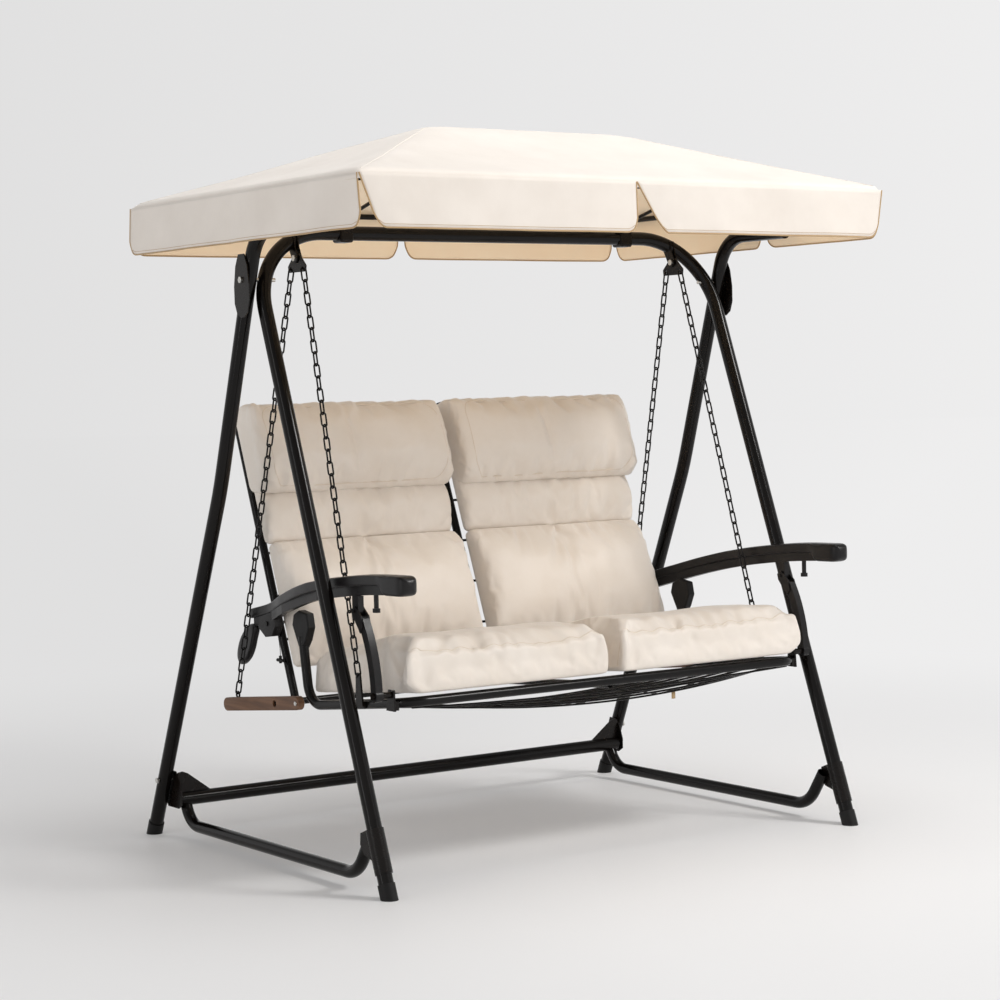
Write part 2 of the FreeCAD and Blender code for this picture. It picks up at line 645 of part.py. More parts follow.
def seat_cushion():
    """Plain solid of one seat cushion, crowned towards the front, its outer front corner wider."""
    front = SEAT_CUSHION_FRONT
    rear = SEAT_CUSHION_REAR
    outline = [(front, 470.0), (front, 590.0), (-330.0, 596.0), (rear, 524.0), (rear, 422.0)]
    outline.append((-392.0, 461.0))
    points = [Vector(CUSHION_X0, y, z) for y, z in outline]
    points.append(points[0])
    slab = Part.Face(Part.makePolygon(points)).extrude(Vector(SEAT_CUSHION_X1 - CUSHION_X0, 0.0, 0.0))
    corner = block(SEAT_CUSHION_X1 - 60.0, SEAT_CORNER_X, front + 6.0, -424.0, 480.0, 586.0)
    return rounded(slab, 30.0).fuse(rounded(corner, 20.0)).removeSplitter()


# ---------------------------------------------------------------- armrests

def arm_curve(offset):
    """Top line of the armrest as a smooth curve of (y, z) points, lowered by an offset."""
    knots = [(ARM_REAR_Y, ARM_REAR_Z), (190.0, 652.0), (82.0, 681.0), (-42.0, 712.0)]
    knots += [(-175.0, 738.0), (-300.0, 754.0), (-450.0, 767.0), (ARM_FRONT_Y, ARM_FRONT_Z)]
    curve = Part.BSplineCurve()
    curve.interpolate([Vector(0.0, y, z - offset) for y, z in knots])
    return curve.toShape()


def arm_side_profile(top_offset, bottom_offset, y_front, y_rear):
    """Solid between two offsets of the armrest curve, wide in X, cut to a length in Y."""
    upper = arm_curve(top_offset)
    lower = arm_curve(bottom_offset)
    rear_upper = Vector(0.0, ARM_REAR_Y, ARM_REAR_Z - top_offset)
    rear_lower = Vector(0.0, ARM_REAR_Y, ARM_REAR_Z - bottom_offset)
    front_upper = Vector(0.0, ARM_FRONT_Y, ARM_FRONT_Z - top_offset)
    front_lower = Vector(0.0, ARM_FRONT_Y, ARM_FRONT_Z - bottom_offset)
    front_edge = Part.LineSegment(front_upper, front_lower).toShape()
    rear_edge = Part.LineSegment(rear_lower, rear_upper).toShape()
    face = Part.Face(Part.Wire([upper, front_edge, lower, rear_edge]))
    solid = face.extrude(Vector(800.0, 0.0, 0.0))
    return solid.common(block(500.0, 800.0, y_front, y_rear, 400.0, 900.0))


def arm_plan(rear_half, front_half, rear_x):
    """Plan outline of the armrest: narrow beside the back, wide and round in front."""
    z0 = 500.0
    inner_rear = Vector(rear_x - rear_half, ARM_REAR_Y + 20.0, z0)
    inner_mid = Vector(rear_x - rear_half, 176.0, z0)
    inner_bend = Vector(ARM_BEND_X - rear_half - 1.0, 60.0, z0)
    inner_wide = Vector(ARM_X - front_half + 1.0, -170.0, z0)
    inner_front = Vector(ARM_X - front_half, ARM_FRONT_Y + front_half, z0)
    nose = Vector(ARM_X, ARM_FRONT_Y, z0)
    outer_front = Vector(ARM_X + front_half, ARM_FRONT_Y + front_half, z0)
    outer_wide = Vector(ARM_X + front_half - 1.0, -170.0, z0)
    outer_bend = Vector(ARM_BEND_X + rear_half + 1.0, 60.0, z0)
    outer_mid = Vector(rear_x + rear_half, 176.0, z0)
    outer_rear = Vector(rear_x + rear_half, ARM_REAR_Y + 20.0, z0)
    edges = [Part.LineSegment(inner_rear, inner_mid).toShape()]
    edges.append(Part.LineSegment(inner_mid, inner_bend).toShape())
    edges.append(Part.LineSegment(inner_bend, inner_wide).toShape())
    edges.append(Part.LineSegment(inner_wide, inner_front).toShape())
    edges.append(Part.Arc(inner_front, nose, outer_front).toShape())
    edges.append(Part.LineSegment(outer_front, outer_wide).toShape())
    edges.append(Part.LineSegment(outer_wide, outer_bend).toShape())
    edges.append(Part.LineSegment(outer_bend, outer_mid).toShape())
    edges.append(Part.LineSegment(outer_mid, outer_rear).toShape())
    edges.append(Part.LineSegment(outer_rear, inner_rear).toShape())
    return Part.Face(Part.Wire(edges)).extrude(Vector(0.0, 0.0, 400.0))


ARM_REAR_X = 625.0
ARM_JOINT_C = Vector(0.0, SUPPORT_FOOT.y + LINK_DY, SUPPORT_FOOT.z + LINK_DZ)


def armrest_pad():
    """Moulded top of the armrest with a thick rounded nose."""
    pad = arm_side_profile(0.0, ARM_PAD_THICK, ARM_FRONT_Y, ARM_REAR_Y)
    pad = pad.common(arm_plan(11.5, 22.0, ARM_REAR_X))
    nose = arm_side_profile(0.0, NOSE_THICK, ARM_FRONT_Y, ARM_REAR_Y)
    half = NOSE_HALF_WIDTH
    bar = block(ARM_X - half, ARM_X + half, ARM_FRONT_Y, NOSE_REAR_Y, 680.0, 790.0)
    upright = [edge for edge in bar.Edges if abs(edge.tangentAt(edge.FirstParameter).z) > 0.99]
    return pad.fuse(nose.common(bar.makeFillet(16.0, upright))).removeSplitter()


def armrest_rail():
    """Stiff rail under the pad, with the rear hub and the front lug of the two pivots."""
    rail = arm_side_profile(ARM_PAD_THICK + 0.05, ARM_RAIL_DEPTH, -500.0, LEVER_PIVOT_Y + 12.0)
    rail = rail.common(arm_plan(9.0, 8.0, ARM_REAR_X))
    pin_y = AXLE_Y + LINK_DY
    pin_z = AXLE_Z + LINK_DZ
    hub_outline = [(pin_y - 38.0, pin_z + 34.0), (pin_y + 46.0, pin_z + 14.0), (pin_y + 44.0, pin_z - 14.0)]
    hub_outline += [(pin_y + 8.0, pin_z - 36.0), (pin_y - 24.0, pin_z - 32.0), (pin_y - 44.0, pin_z - 4.0)]
    hub = side_plate(hub_outline, ARM_REAR_X - 11.5, ARM_REAR_X + 13.5)
    lug = x_cylinder(ARM_X - 8.0, ARM_X + 8.0, ARM_JOINT_C.y, ARM_JOINT_C.z, 14.0)
    neck = block(ARM_X - 8.0, ARM_X + 8.0, ARM_JOINT_C.y - 14.0, ARM_JOINT_C.y + 14.0, ARM_JOINT_C.z, 710.0)
    body = rail.fuse(hub).fuse(lug).fuse(neck)
    body = body.cut(x_cylinder(600.0, 639.0, pin_y, pin_z, PIN_R + RUNNING))
    body = body.cut(x_cylinder(ARM_X - 12.0, ARM_X + 12.0, ARM_JOINT_C.y, ARM_JOINT_C.z, PIN_R + 0.3))
    boss_top = Vector(ARM_REAR_X + 1.0, CORD_TOP.y, CORD_TOP.z + 12.0)
    body = body.fuse(straight(boss_top, boss_top - Vector(0.0, 0.0, 12.0), 3.5))
    return body.cut(lever_slot()).cut(button_hole()).cut(armrest_pad()).removeSplitter()


def lever_slot():
    """Room at the rear of the hub for the root of the recline lever."""
    x0 = ARM_REAR_X - 5.5
    x1 = ARM_REAR_X + 5.5
    mouth = block(x0, x1, LEVER_PIVOT_Y - 8.0, LEVER_PIVOT_Y + 20.0, LEVER_PIVOT_Z - 30.0, LEVER_PIVOT_Z)
    return x_cylinder(x0, x1, LEVER_PIVOT_Y, LEVER_PIVOT_Z, 13.0).fuse(mouth)


def recline_lever():
    """Paddle behind the armrest that frees the recline lock."""
    y = LEVER_PIVOT_Y
    z = LEVER_PIVOT_Z
    root = x_cylinder(ARM_REAR_X - 5.0, ARM_REAR_X + 5.0, y, z, 8.0)
    arm = side_plate([(y - 5.0, z - 7.0), (y + 8.0, z + 3.0), (y + 34.0, z - 16.0), (y + 20.0, z - 36.0)],
                     ARM_REAR_X - 5.0, ARM_REAR_X + 5.0)
    blade_outline = [(y + 19.0, z - 38.0), (y + 24.0, z - 15.0), (y + 46.0, z - 22.0)]
    blade_outline += [(y + 74.0, z - 46.0), (y + 97.0, z - 80.0), (y + 101.0, z - 102.0)]
    blade_outline += [(y + 90.0, z - 114.0), (y + 70.0, z - 110.0)]
    blade_outline.append((y + 42.0, z - 82.0))
    blade = side_plate(blade_outline, ARM_REAR_X - 10.0, ARM_REAR_X + 10.0)
    return root.fuse(arm).fuse(rounded(blade, 4.0)).removeSplitter()


def button_hole():
    axis = Vector(0.0, 0.0, 1.0)
    return Part.makeCylinder(6.05, 60.0, Vector(ARM_X, BUTTON_Y, 690.0), axis)


def lock_button():
    """Push button under the front of the armrest."""
    top = 736.0
    stem = Part.makeCylinder(6.0, 50.0, Vector(ARM_X, BUTTON_Y, top - 54.0), Vector(0.0, 0.0, 1.0))
    cap = Part.makeCylinder(9.5, 10.0, Vector(ARM_X, BUTTON_Y, top - 62.0), Vector(0.0, 0.0, 1.0))
    return stem.fuse(cap).removeSplitter()


def arm_support():
    """Curved front support, forked at the top round the lug of the armrest."""
    foot = Vector(0.0, SUPPORT_FOOT.y, SUPPORT_FOOT.z)
    knee = Vector(0.0, foot.y + 15.0, 565.0)
    head = Vector(0.0, ARM_JOINT_C.y - 26.0, ARM_JOINT_C.z - 22.0)
    centre_line = Part.Arc(foot, knee, head)
    circle = centre_line.toShape().Curve
    radius = circle.Radius
    centre = circle.Center
    half = 12.0

    def at(point, distance):
        return centre + unit(point - centre) * distance

    outer = Part.Arc(at(foot, radius + half), at(knee, radius + half), at(head, radius + half)).toShape()
    inner = Part.Arc(at(head, radius - half), at(knee, radius - half), at(foot, radius - half)).toShape()
    low = Part.LineSegment(at(foot, radius - half), at(foot, radius + half)).toShape()
    high = Part.LineSegment(at(head, radius + half), at(head, radius - half)).toShape()
    face = Part.Face(Part.Wire([outer, high, inner, low]))
    bar = face.extrude(Vector(20.0, 0.0, 0.0))
    bar.translate(Vector(ARM_X - 10.0, 0.0, 0.0))
    support = bar.fuse(x_cylinder(ARM_X - 10.0, ARM_X + 10.0, foot.y, foot.z, 15.0))
    joint_y = ARM_JOINT_C.y
    joint_z = ARM_JOINT_C.z
    cheek_outline = [(head.y - 14.0, head.z - 14.0), (head.y - 6.0, head.z + 12.0)]
    cheek_outline += [(joint_y - 4.0, joint_z + 13.0), (joint_y + 12.0, joint_z + 5.0)]
    cheek_outline += [(joint_y + 8.0, joint_z - 11.0), (head.y + 10.0, head.z - 16.0), (head.y, head.z - 30.0)]
    for x0 in (ARM_X - 12.5, ARM_X + 8.5):
        support = support.fuse(side_plate(cheek_outline, x0, x0 + 4.0))
    keep_out = x_cylinder(ARM_X - 8.5, ARM_X + 8.5, ARM_JOINT_C.y, ARM_JOINT_C.z, 17.0)
    support = support.cut(keep_out)
    support = support.cut(x_cylinder(ARM_X - 20.0, ARM_X + 20.0, foot.y, foot.z, PIN_R + RUNNING))
    support = support.cut(x_cylinder(ARM_X - 20.0, ARM_X + 20.0, ARM_JOINT_C.y, ARM_JOINT_C.z, PIN_R + 0.02))
    pin = x_cylinder(ARM_X - 15.0, ARM_X + 15.0, ARM_JOINT_C.y, ARM_JOINT_C.z, PIN_R)
    return [support.removeSplitter(), pin]


def support_bracket():
    """Bracket on the side rail with the pin on which the front support turns."""
    y = SUPPORT_FOOT.y
    z = SUPPORT_FOOT.z
    x0 = RAIL_X + 2.0
    outline = [(y - 16.0, z - 40.0), (y - 12.0, z + 12.0), (y + 12.0, z + 12.0), (y + 22.0, z - 40.0)]
    plate = side_plate(outline, x0 + 10.0, x0 + 15.0)
    saddle = block(x0, x0 + 11.0, y - 14.0, y + 20.0, z - 38.0, z - 16.0)
    pin = x_cylinder(x0 + 12.0, ARM_X + 10.6, y, z, PIN_R)
    shoulder = x_cylinder(x0 + 14.0, ARM_X - 10.6, y, z, 8.0)
    washer = x_cylinder(ARM_X + 10.6, ARM_X + 13.6, y, z, 9.0)
    rail = straight(Vector(RAIL_X, RAIL_JOINT_Y, 443.0), RAIL_BEND, SEAT_R + 0.02)
    front_rail = rod(seat_front_rail_points(), FRONT_RAIL_BENDS, SEAT_R + 0.02)
    bracket = plate.fuse(saddle).cut(rail).cut(front_rail)
    return bracket.fuse(pin).fuse(shoulder).fuse(washer).removeSplitter()


def release_cord():
    """Thin cord as straight runs joined by arcs of 0.45 of the shorter run."""
    radii = []
    for index in range(1, len(CORD_POINTS) - 1):
        before = CORD_POINTS[index] - CORD_POINTS[index - 1]
        after = CORD_POINTS[index + 1] - CORD_POINTS[index]
        turn = before.getAngle(after)
        radii.append(0.45 * min(before.Length, after.Length) / math.tan(turn / 2.0))
    print("cord arc radii", [round(radius, 1) for radius in radii])
    cord = rod(CORD_POINTS, radii, CORD_R)
    length = bent_path(CORD_POINTS, radii).Length
    share = cord.Volume / (math.pi * CORD_R ** 2 * length)
    print("cord length", round(length, 1), "volume share", round(share, 4))
    return cord


def release_toggle():
    """T-shaped pull at the end of the cord."""
    top = CORD_POINTS[-1]
    stem = Part.makeCylinder(4.0, 20.0, top - Vector(0.0, 0.0, 20.0), Vector(0.0, 0.0, 1.0))
    bar = Part.makeCylinder(4.5, 32.0, top - Vector(0.0, 16.0, 12.0), Vector(0.0, 1.0, 0.0))
    return rounded(stem.fuse(bar).removeSplitter(), 1.0)


# ---------------------------------------------------------------- canopy

def roof_solid(inset):
    """Hipped roof block from the eave up, drawn in by an inset all round."""
    x = CANOPY_X - inset
    front = CANOPY_FRONT + inset
    rear = CANOPY_REAR - inset
    drop = inset * 1.05
    eave = EAVE_Z - (drop if inset else 0.0)
    ridge = RIDGE_Z - drop
    corners = [Vector(-x, front, eave), Vector(x, front, eave), Vector(x, rear, eave), Vector(-x, rear, eave)]
    ends = [Vector(-RIDGE_X, RIDGE_Y, ridge), Vector(RIDGE_X, RIDGE_Y, ridge)]
    front_panel = [corners[0], corners[1], ends[1], ends[0]]
    right_panel = [corners[1], corners[2], ends[1]]
    rear_panel = [corners[2], corners[3], ends[0], ends[1]]
    left_panel = [corners[3], corners[0], ends[0]]
    faces = []
    for panel in (front_panel, right_panel, rear_panel, left_panel, list(reversed(corners))):
        faces.append(Part.Face(Part.makePolygon(panel + [panel[0]])))
    return Part.Solid(Part.Shell(faces))


def roof_panel(shell, plan):
    """The part of the roof shell above one plan outline."""
    points = [Vector(x, y, EAVE_Z - 10.0) for x, y in plan]
    outline = Part.makePolygon(points + [points[0]])
    return shell.common(Part.Face(outline).extrude(Vector(0.0, 0.0, RIDGE_Z - EAVE_Z + 20.0)))


def canopy_roof():
    """Roof cloth: four thin panels that meet at the hips and the ridge, open underneath."""
    shell = roof_solid(0.0).cut(roof_solid(CLOTH))
    left_end = (-RIDGE_X, RIDGE_Y)
    right_end = (RIDGE_X, RIDGE_Y)
    front_left = (-CANOPY_X, CANOPY_FRONT)
    front_right = (CANOPY_X, CANOPY_FRONT)
    rear_left = (-CANOPY_X, CANOPY_REAR)
    rear_right = (CANOPY_X, CANOPY_REAR)
    plans = [[front_left, front_right, right_end, left_end], [front_right, rear_right, right_end]]
    plans += [[rear_right, rear_left, left_end, right_end], [rear_left, front_left, left_end]]
    return [roof_panel(shell, plan) for plan in plans]


def valance(length, height):
    """One hanging flap in the XZ plane from X = 0, with rounded lower corners."""
    radius = 40.0
    z1 = EAVE_Z - 2.2
    z0 = z1 - height
    bend = radius * (1.0 - math.sqrt(0.5))
    left = Part.LineSegment(Vector(0.0, 0.0, z1), Vector(0.0, 0.0, z0 + radius)).toShape()
    middle = Vector(bend, 0.0, z0 + bend)
    left_arc = Part.Arc(Vector(0.0, 0.0, z0 + radius), middle, Vector(radius, 0.0, z0)).toShape()
    low = Part.LineSegment(Vector(radius, 0.0, z0), Vector(length - radius, 0.0, z0)).toShape()
    right_arc = Part.Arc(Vector(length - radius, 0.0, z0), Vector(length - bend, 0.0, z0 + bend),
                         Vector(length, 0.0, z0 + radius)).toShape()
    right = Part.LineSegment(Vector(length, 0.0, z0 + radius), Vector(length, 0.0, z1)).toShape()
    top = Part.LineSegment(Vector(length, 0.0, z1), Vector(0.0, 0.0, z1)).toShape()
    face = Part.Face(Part.Wire([left, left_arc, low, right_arc, right, top]))
    return face.extrude(Vector(0.0, CLOTH, 0.0))


def front_valances():
    """Two flaps that meet at a slit in the middle of a long side."""
    gap = 6.0
    length = CANOPY_X - 8.0 - gap / 2.0
    flap = valance(length, EAVE_Z - VALANCE_Z)
    flap.translate(Vector(gap / 2.0, CANOPY_FRONT + 0.5, 0.0))
    return both(flap)


def rear_valances():
    flaps = []
    for flap in front_valances():
        flap.translate(Vector(0.0, CANOPY_REAR - CANOPY_FRONT - CLOTH - 1.0, 0.0))
        flaps.append(flap)
    return flaps


def side_valances(sign):
    """Two flaps that meet at a slit in the middle of a short side."""
    gap = 6.0
    middle = (CANOPY_FRONT + CANOPY_REAR) / 2.0
    length = (CANOPY_REAR - CANOPY_FRONT) / 2.0 - 8.0 - gap / 2.0
    flaps = []
    for start in (middle + gap / 2.0, middle - gap / 2.0 - length):
        flap = valance(length, EAVE_Z - VALANCE_Z)
        flap.rotate(Vector(0.0, 0.0, 0.0), Vector(0.0, 0.0, 1.0), 90.0)
        flap.translate(Vector(CANOPY_X - 0.5, start, 0.0))
        flaps.append(on_side(flap, sign))
    return flaps


def canopy_hoop():
    """Closed rod under the eave that stretches the cloth."""
    x = CANOPY_X - 16.0
    front = CANOPY_FRONT + 16.0
    rear = CANOPY_REAR - 16.0
    z = EAVE_Z - 16.0
    front_half = [Vector(-x, -35.0, z), Vector(-x, front, z), Vector(x, front, z), Vector(x, -35.0, z)]
    rear_half = [Vector(-x, -34.5, z), Vector(-x, rear, z), Vector(x, rear, z), Vector(x, -34.5, z)]
    bends = [45.0, 45.0]
    return [tube(front_half, bends, HOOP_R, ROD_WALL), tube(rear_half, bends, HOOP_R, ROD_WALL)]


def bow_apex():
    share = (BOW_X - RIDGE_X) / (CANOPY_X - RIDGE_X)
    return RIDGE_Z - (RIDGE_Z - EAVE_Z) * share - 14.0


def canopy_bow():
    """Roof bow over the clamp, with two stays down to it."""
    hoop_z = EAVE_Z - 16.0
    front = Vector(BOW_X, CANOPY_FRONT + 25.0, hoop_z + 4.0)
    rear = Vector(BOW_X, CANOPY_REAR - 25.0, hoop_z + 4.0)
    apex = Vector(BOW_X, RIDGE_Y, bow_apex())
    bow = tube([front, apex, rear], [160.0], BOW_R, ROD_WALL)
    clamp = Vector(BOW_X, BAR_Y, BAR_Z + 34.0)
    front_foot = Vector(BOW_X, -370.0, 1758.0)
    rear_foot = Vector(BOW_X, 330.0, 1748.0)
    stays = straight(clamp, front_foot, 5.0).fuse(straight(clamp, rear_foot, 5.0))
    hollow = rod([front, apex, rear], [160.0], BOW_R - ROD_WALL)
    stays = stays.cut(hollow)
    front_start = Vector(BOW_X - 30.0, CANOPY_FRONT + 16.0, hoop_z)
    rear_start = Vector(BOW_X - 30.0, CANOPY_REAR - 16.0, hoop_z)
    hoop = Part.makeCylinder(HOOP_R + 0.02, 60.0, front_start, Vector(1.0, 0.0, 0.0))
    rear_hoop = Part.makeCylinder(HOOP_R + 0.02, 60.0, rear_start, Vector(1.0, 0.0, 0.0))
    clamp_block = block(BOW_X - 21.0, BOW_X + 21.0, BAR_Y - 27.0, BAR_Y + 27.0, BAR_Z - 30.0, BAR_Z + 38.02)
    whole = bow.fuse(stays).cut(hoop).cut(rear_hoop).cut(clamp_block)
    return max(whole.Solids, key=lambda solid: solid.Volume)


def ridge_tube():
    """Ridge of the roof between the two bows."""
    apex = bow_apex() + 1.0
    top = RIDGE_Z - 13.0
    inner = BOW_X - 3.0
    points = [Vector(-inner, RIDGE_Y, apex), Vector(-RIDGE_X, RIDGE_Y, top)]
    points += [Vector(RIDGE_X, RIDGE_Y, top), Vector(inner, RIDGE_Y, apex)]
    ridge = tube(points, [90.0, 90.0], BOW_R, ROD_WALL)
    for bow_x in (-BOW_X, BOW_X):
        slot = block(bow_x - BOW_R, bow_x + BOW_R, RIDGE_Y - 40.0, RIDGE_Y + 40.0, 1700.0, RIDGE_Z)
        ridge = ridge.cut(slot)
    return max(ridge.Solids, key=lambda solid: solid.Volume)


def canopy_clamp():
    """Clamp block that turns on the top bar and carries the bow."""
    body = block(BOW_X - 20.0, BOW_X + 20.0, BAR_Y - 24.0, BAR_Y + 24.0, BAR_Z - 25.0, BAR_Z + 38.0)
    body = rounded(body, 7.0)
    return body.cut(x_cylinder(BOW_X - 30.0, BOW_X + 30.0, BAR_Y, BAR_Z, TUBE_R + RUNNING))


# ---------------------------------------------------------------- writing

def solids_of(shape):
    """The separate solids of a shape or of a list of shapes."""
    shapes = shape if isinstance(shape, list) else [shape]
    found = []
    for item in shapes:
        found += item.Solids
    return found


def write(name, shape):
    found = solids_of(shape)
    whole = found[0] if len(found) == 1 else Part.makeCompound(found)
    valid = all(solid.isValid() and solid.Volume > 0.0 for solid in found)
    whole.exportStep("parts/" + name + ".step")
    box = whole.optimalBoundingBox()
    limits = [round(value, 1) for value in (box.XMin, box.YMin, box.ZMin, box.XMax, box.YMax, box.ZMax)]
    volume = round(whole.Volume / 1000.0, 1)
    print(name, len(found), "solids", volume, "cm3", "ok" if valid else "INVALID", limits)


def main():
    os.makedirs("parts", exist_ok=True)

    for side, sign in SIDES.items():
        write("front_leg_" + side, on_side(front_leg(), sign))
        write("rear_leg_" + side, on_side(rear_leg(), sign))
        write("side_bar_" + side, on_side(side_bar(), sign))
    write("top_bar", top_bar())
    write("joint_plates", both(joint_plate()))
    write("frame_bolts", both(joint_bolt()) + both(base_bolt()))
    write("hanger_brackets", both(hanger_bracket()))
    write("hanger_pins", both(hanger_pin()))
    write("rear_crossbar", rear_crossbar())
    write("base_brackets", both(base_bracket()))
    write("side_bar_clamps", both(side_bar_clamp()))
    write("foot_caps", foot_caps())

    write("hanger_yokes", both(hanger_yoke()))
    write("front_chains", chain_pair(-EYE_SPREAD, FRONT_CHAIN_END))
    write("rear_chains", chain_pair(EYE_SPREAD, REAR_CHAIN_END))
    write("front_chain_lugs", both(front_chain_lug()))
    write("rear_chain_eyes", both(rear_chain_eye()))
    write("seat_front_rail", seat_front_rail())
    write("seat_rear_axle", seat_rear_axle())
    write("seat_centre_rail", seat_centre_rail())
    write("seat_deck_wires", seat_deck_wires())
    write("beam_bolts", both(beam_bolt()))
    write("recline_locks", both(recline_lock()))
    write("support_brackets", both(support_bracket()))

    for side, sign in SIDES.items():
        write("wood_beam_" + side, on_side(wood_beam(), sign))
        write("seat_side_rail_" + side, on_side(seat_side_rail(), sign))
        write("seat_cushion_" + side, on_side(seat_cushion(), sign))
        write("back_frame_" + side, on_side(back_frame(), sign))
        write("back_slats_" + side, [on_side(wire, sign) for wire in back_slats()])
        write("back_cushion_" + side, on_side(back_cushion(), sign))
        write("arm_pin_" + side, on_side(arm_pin(), sign))
        write("armrest_pad_" + side, on_side(armrest_pad(), sign))
        write("armrest_rail_" + side, on_side(armrest_rail(), sign))
        write("recline_lever_" + side, on_side(recline_lever(), sign))
        write("lock_button_" + side, on_side(lock_button(), sign))
        write("arm_support_" + side, [on_side(piece, sign) for piece in arm_support()])

    write("canopy_roof", canopy_roof())
    write("long_valances", front_valances() + rear_valances())
    write("side_valances", side_valances(-1.0) + side_valances(1.0))
    write("canopy_hoop", canopy_hoop())
    write("canopy_bows", both(canopy_bow()))
    write("ridge_tube", ridge_tube())
    write("canopy_clamps", both(canopy_clamp()))
    write("release_cord", release_cord())
    write("release_toggle", release_toggle())


main()
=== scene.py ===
"""Canopy swing bench: looks, soft parts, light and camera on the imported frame. Metres, Z up."""
import math

import bmesh
import bpy
from mathutils import Matrix, Vector, noise


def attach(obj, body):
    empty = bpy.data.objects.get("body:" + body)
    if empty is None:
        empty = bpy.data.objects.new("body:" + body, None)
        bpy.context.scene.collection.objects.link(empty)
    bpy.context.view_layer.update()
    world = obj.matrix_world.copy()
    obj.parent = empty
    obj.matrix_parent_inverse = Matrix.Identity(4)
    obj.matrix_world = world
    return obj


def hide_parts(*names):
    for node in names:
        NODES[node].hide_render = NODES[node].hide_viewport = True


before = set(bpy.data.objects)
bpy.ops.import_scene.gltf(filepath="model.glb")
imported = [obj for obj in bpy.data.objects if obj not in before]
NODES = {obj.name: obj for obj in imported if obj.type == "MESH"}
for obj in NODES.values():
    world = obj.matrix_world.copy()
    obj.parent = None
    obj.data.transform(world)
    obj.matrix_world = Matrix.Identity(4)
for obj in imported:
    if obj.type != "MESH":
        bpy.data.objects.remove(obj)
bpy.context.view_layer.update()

# ------------------------------------------------------------------ camera

AZIMUTH = math.radians(-34.365)
ELEVATION = math.radians(2.768)
ROLL = math.radians(-1.307)
CAMERA_AT = Vector((-3.7286, -5.4366, 1.2214))
LENS = 87.43
SENSOR_WIDTH = 36.0
FAR_CLIP = 200.0


def make_camera():
    """Camera that looks along AZIMUTH and ELEVATION, rolled a little about its own axis."""
    back = Vector((math.sin(AZIMUTH) * math.cos(ELEVATION),
                   -math.cos(AZIMUTH) * math.cos(ELEVATION), math.sin(ELEVATION)))
    right = Vector((0.0, 0.0, 1.0)).cross(back).normalized()
    up = back.cross(right)
    turned_right = right * math.cos(ROLL) + up * math.sin(ROLL)
    turned_up = up * math.cos(ROLL) - right * math.sin(ROLL)
    data = bpy.data.cameras.new("camera")
    data.lens = LENS
    data.sensor_width = SENSOR_WIDTH
    data.clip_end = FAR_CLIP
    camera = bpy.data.objects.new("camera", data)
    bpy.context.collection.objects.link(camera)
    turn = Matrix((turned_right, turned_up, back)).transposed()
    camera.matrix_world = Matrix.Translation(CAMERA_AT) @ turn.to_4x4()
    bpy.context.scene.camera = camera


make_camera()

# ------------------------------------------------------------------ release cord

CORD_ROUTE = [(-0.626, 0.148, 0.5844), (-0.626, 0.148, 0.569), (-0.626, 0.143, 0.552),
              (-0.626, 0.139, 0.535), (-0.626, 0.139, 0.518)]
CORD_DIAMETER = 0.0018

# ------------------------------------------------------------------ materials

def add_node(tree, kind, **settings):
    """Adds a node. A setting named like one of its sockets, with _ for a space, sets that socket."""
    made = tree.nodes.new(kind)
    for key, value in settings.items():
        socket = key.replace("_", " ")
        if socket in made.inputs:
            made.inputs[socket].default_value = value
        else:
            setattr(made, key, value)
    return made


class Paint:
    """One procedural material: a Principled shader and the nodes that feed it."""

    def __init__(self, name, color, roughness, **values):
        self.material = bpy.data.materials.new(name)
        self.material.use_nodes = True
        self.tree = self.material.node_tree
        self.shader = self.tree.nodes["Principled BSDF"]
        self.coords = self.node("ShaderNodeTexCoord").outputs["Object"]
        self.shader.inputs["Base Color"].default_value = (*color, 1.0)
        self.shader.inputs["Roughness"].default_value = roughness
        for key, value in values.items():
            self.shader.inputs[key.replace("_", " ")].default_value = value
        self.height = None

    def node(self, kind, **settings):
        return add_node(self.tree, kind, **settings)

    def link(self, out, into):
        self.tree.links.new(out, into)

    def noise(self, scale, detail=3.0, stretch=(1.0, 1.0, 1.0), rough=0.5, distortion=0.0):
        mapping = self.node("ShaderNodeMapping", Scale=stretch)
        self.link(self.coords, mapping.inputs["Vector"])
        made = self.node("ShaderNodeTexNoise", Scale=scale, Detail=detail, Roughness=rough, Distortion=distortion)
        self.link(mapping.outputs["Vector"], made.inputs["Vector"])
        return made.outputs["Fac"]

    def threads(self, scale, direction):
        """Fine parallel bands, as the threads of a cloth."""
        made = self.node("ShaderNodeTexWave", wave_type="BANDS", bands_direction=direction, Scale=scale,
                         Distortion=0.4, Detail=1.0)
        self.link(self.coords, made.inputs["Vector"])
        return made.outputs["Fac"]

    def ramp(self, fac, stops):
        made = self.node("ShaderNodeValToRGB")
        ramp = made.color_ramp
        while len(ramp.elements) < len(stops):
            ramp.elements.new(0.5)
        for element, (place, color) in zip(ramp.elements, stops):
            element.position = place
            element.color = (*color, 1.0)
        self.link(fac, made.inputs["Fac"])
        return made.outputs["Color"]

    def mottle(self, fac, low, high, start=0.3, end=0.7):
        self.link(self.ramp(fac, [(start, low), (end, high)]), self.shader.inputs["Base Color"])
        return self

    def rough(self, fac, low, high):
        made = self.node("ShaderNodeMapRange", To_Min=low, To_Max=high)
        self.link(fac, made.inputs["Value"])
        self.link(made.outputs["Result"], self.shader.inputs["Roughness"])
        return self

    def bump(self, fac, strength, distance):
        made = self.node("ShaderNodeBump", Strength=strength, Distance=distance)
        self.link(fac, made.inputs["Height"])
        if self.height is not None:
            self.link(self.height, made.inputs["Normal"])
        self.height = made.outputs["Normal"]
        self.link(self.height, self.shader.inputs["Normal"])
        return self


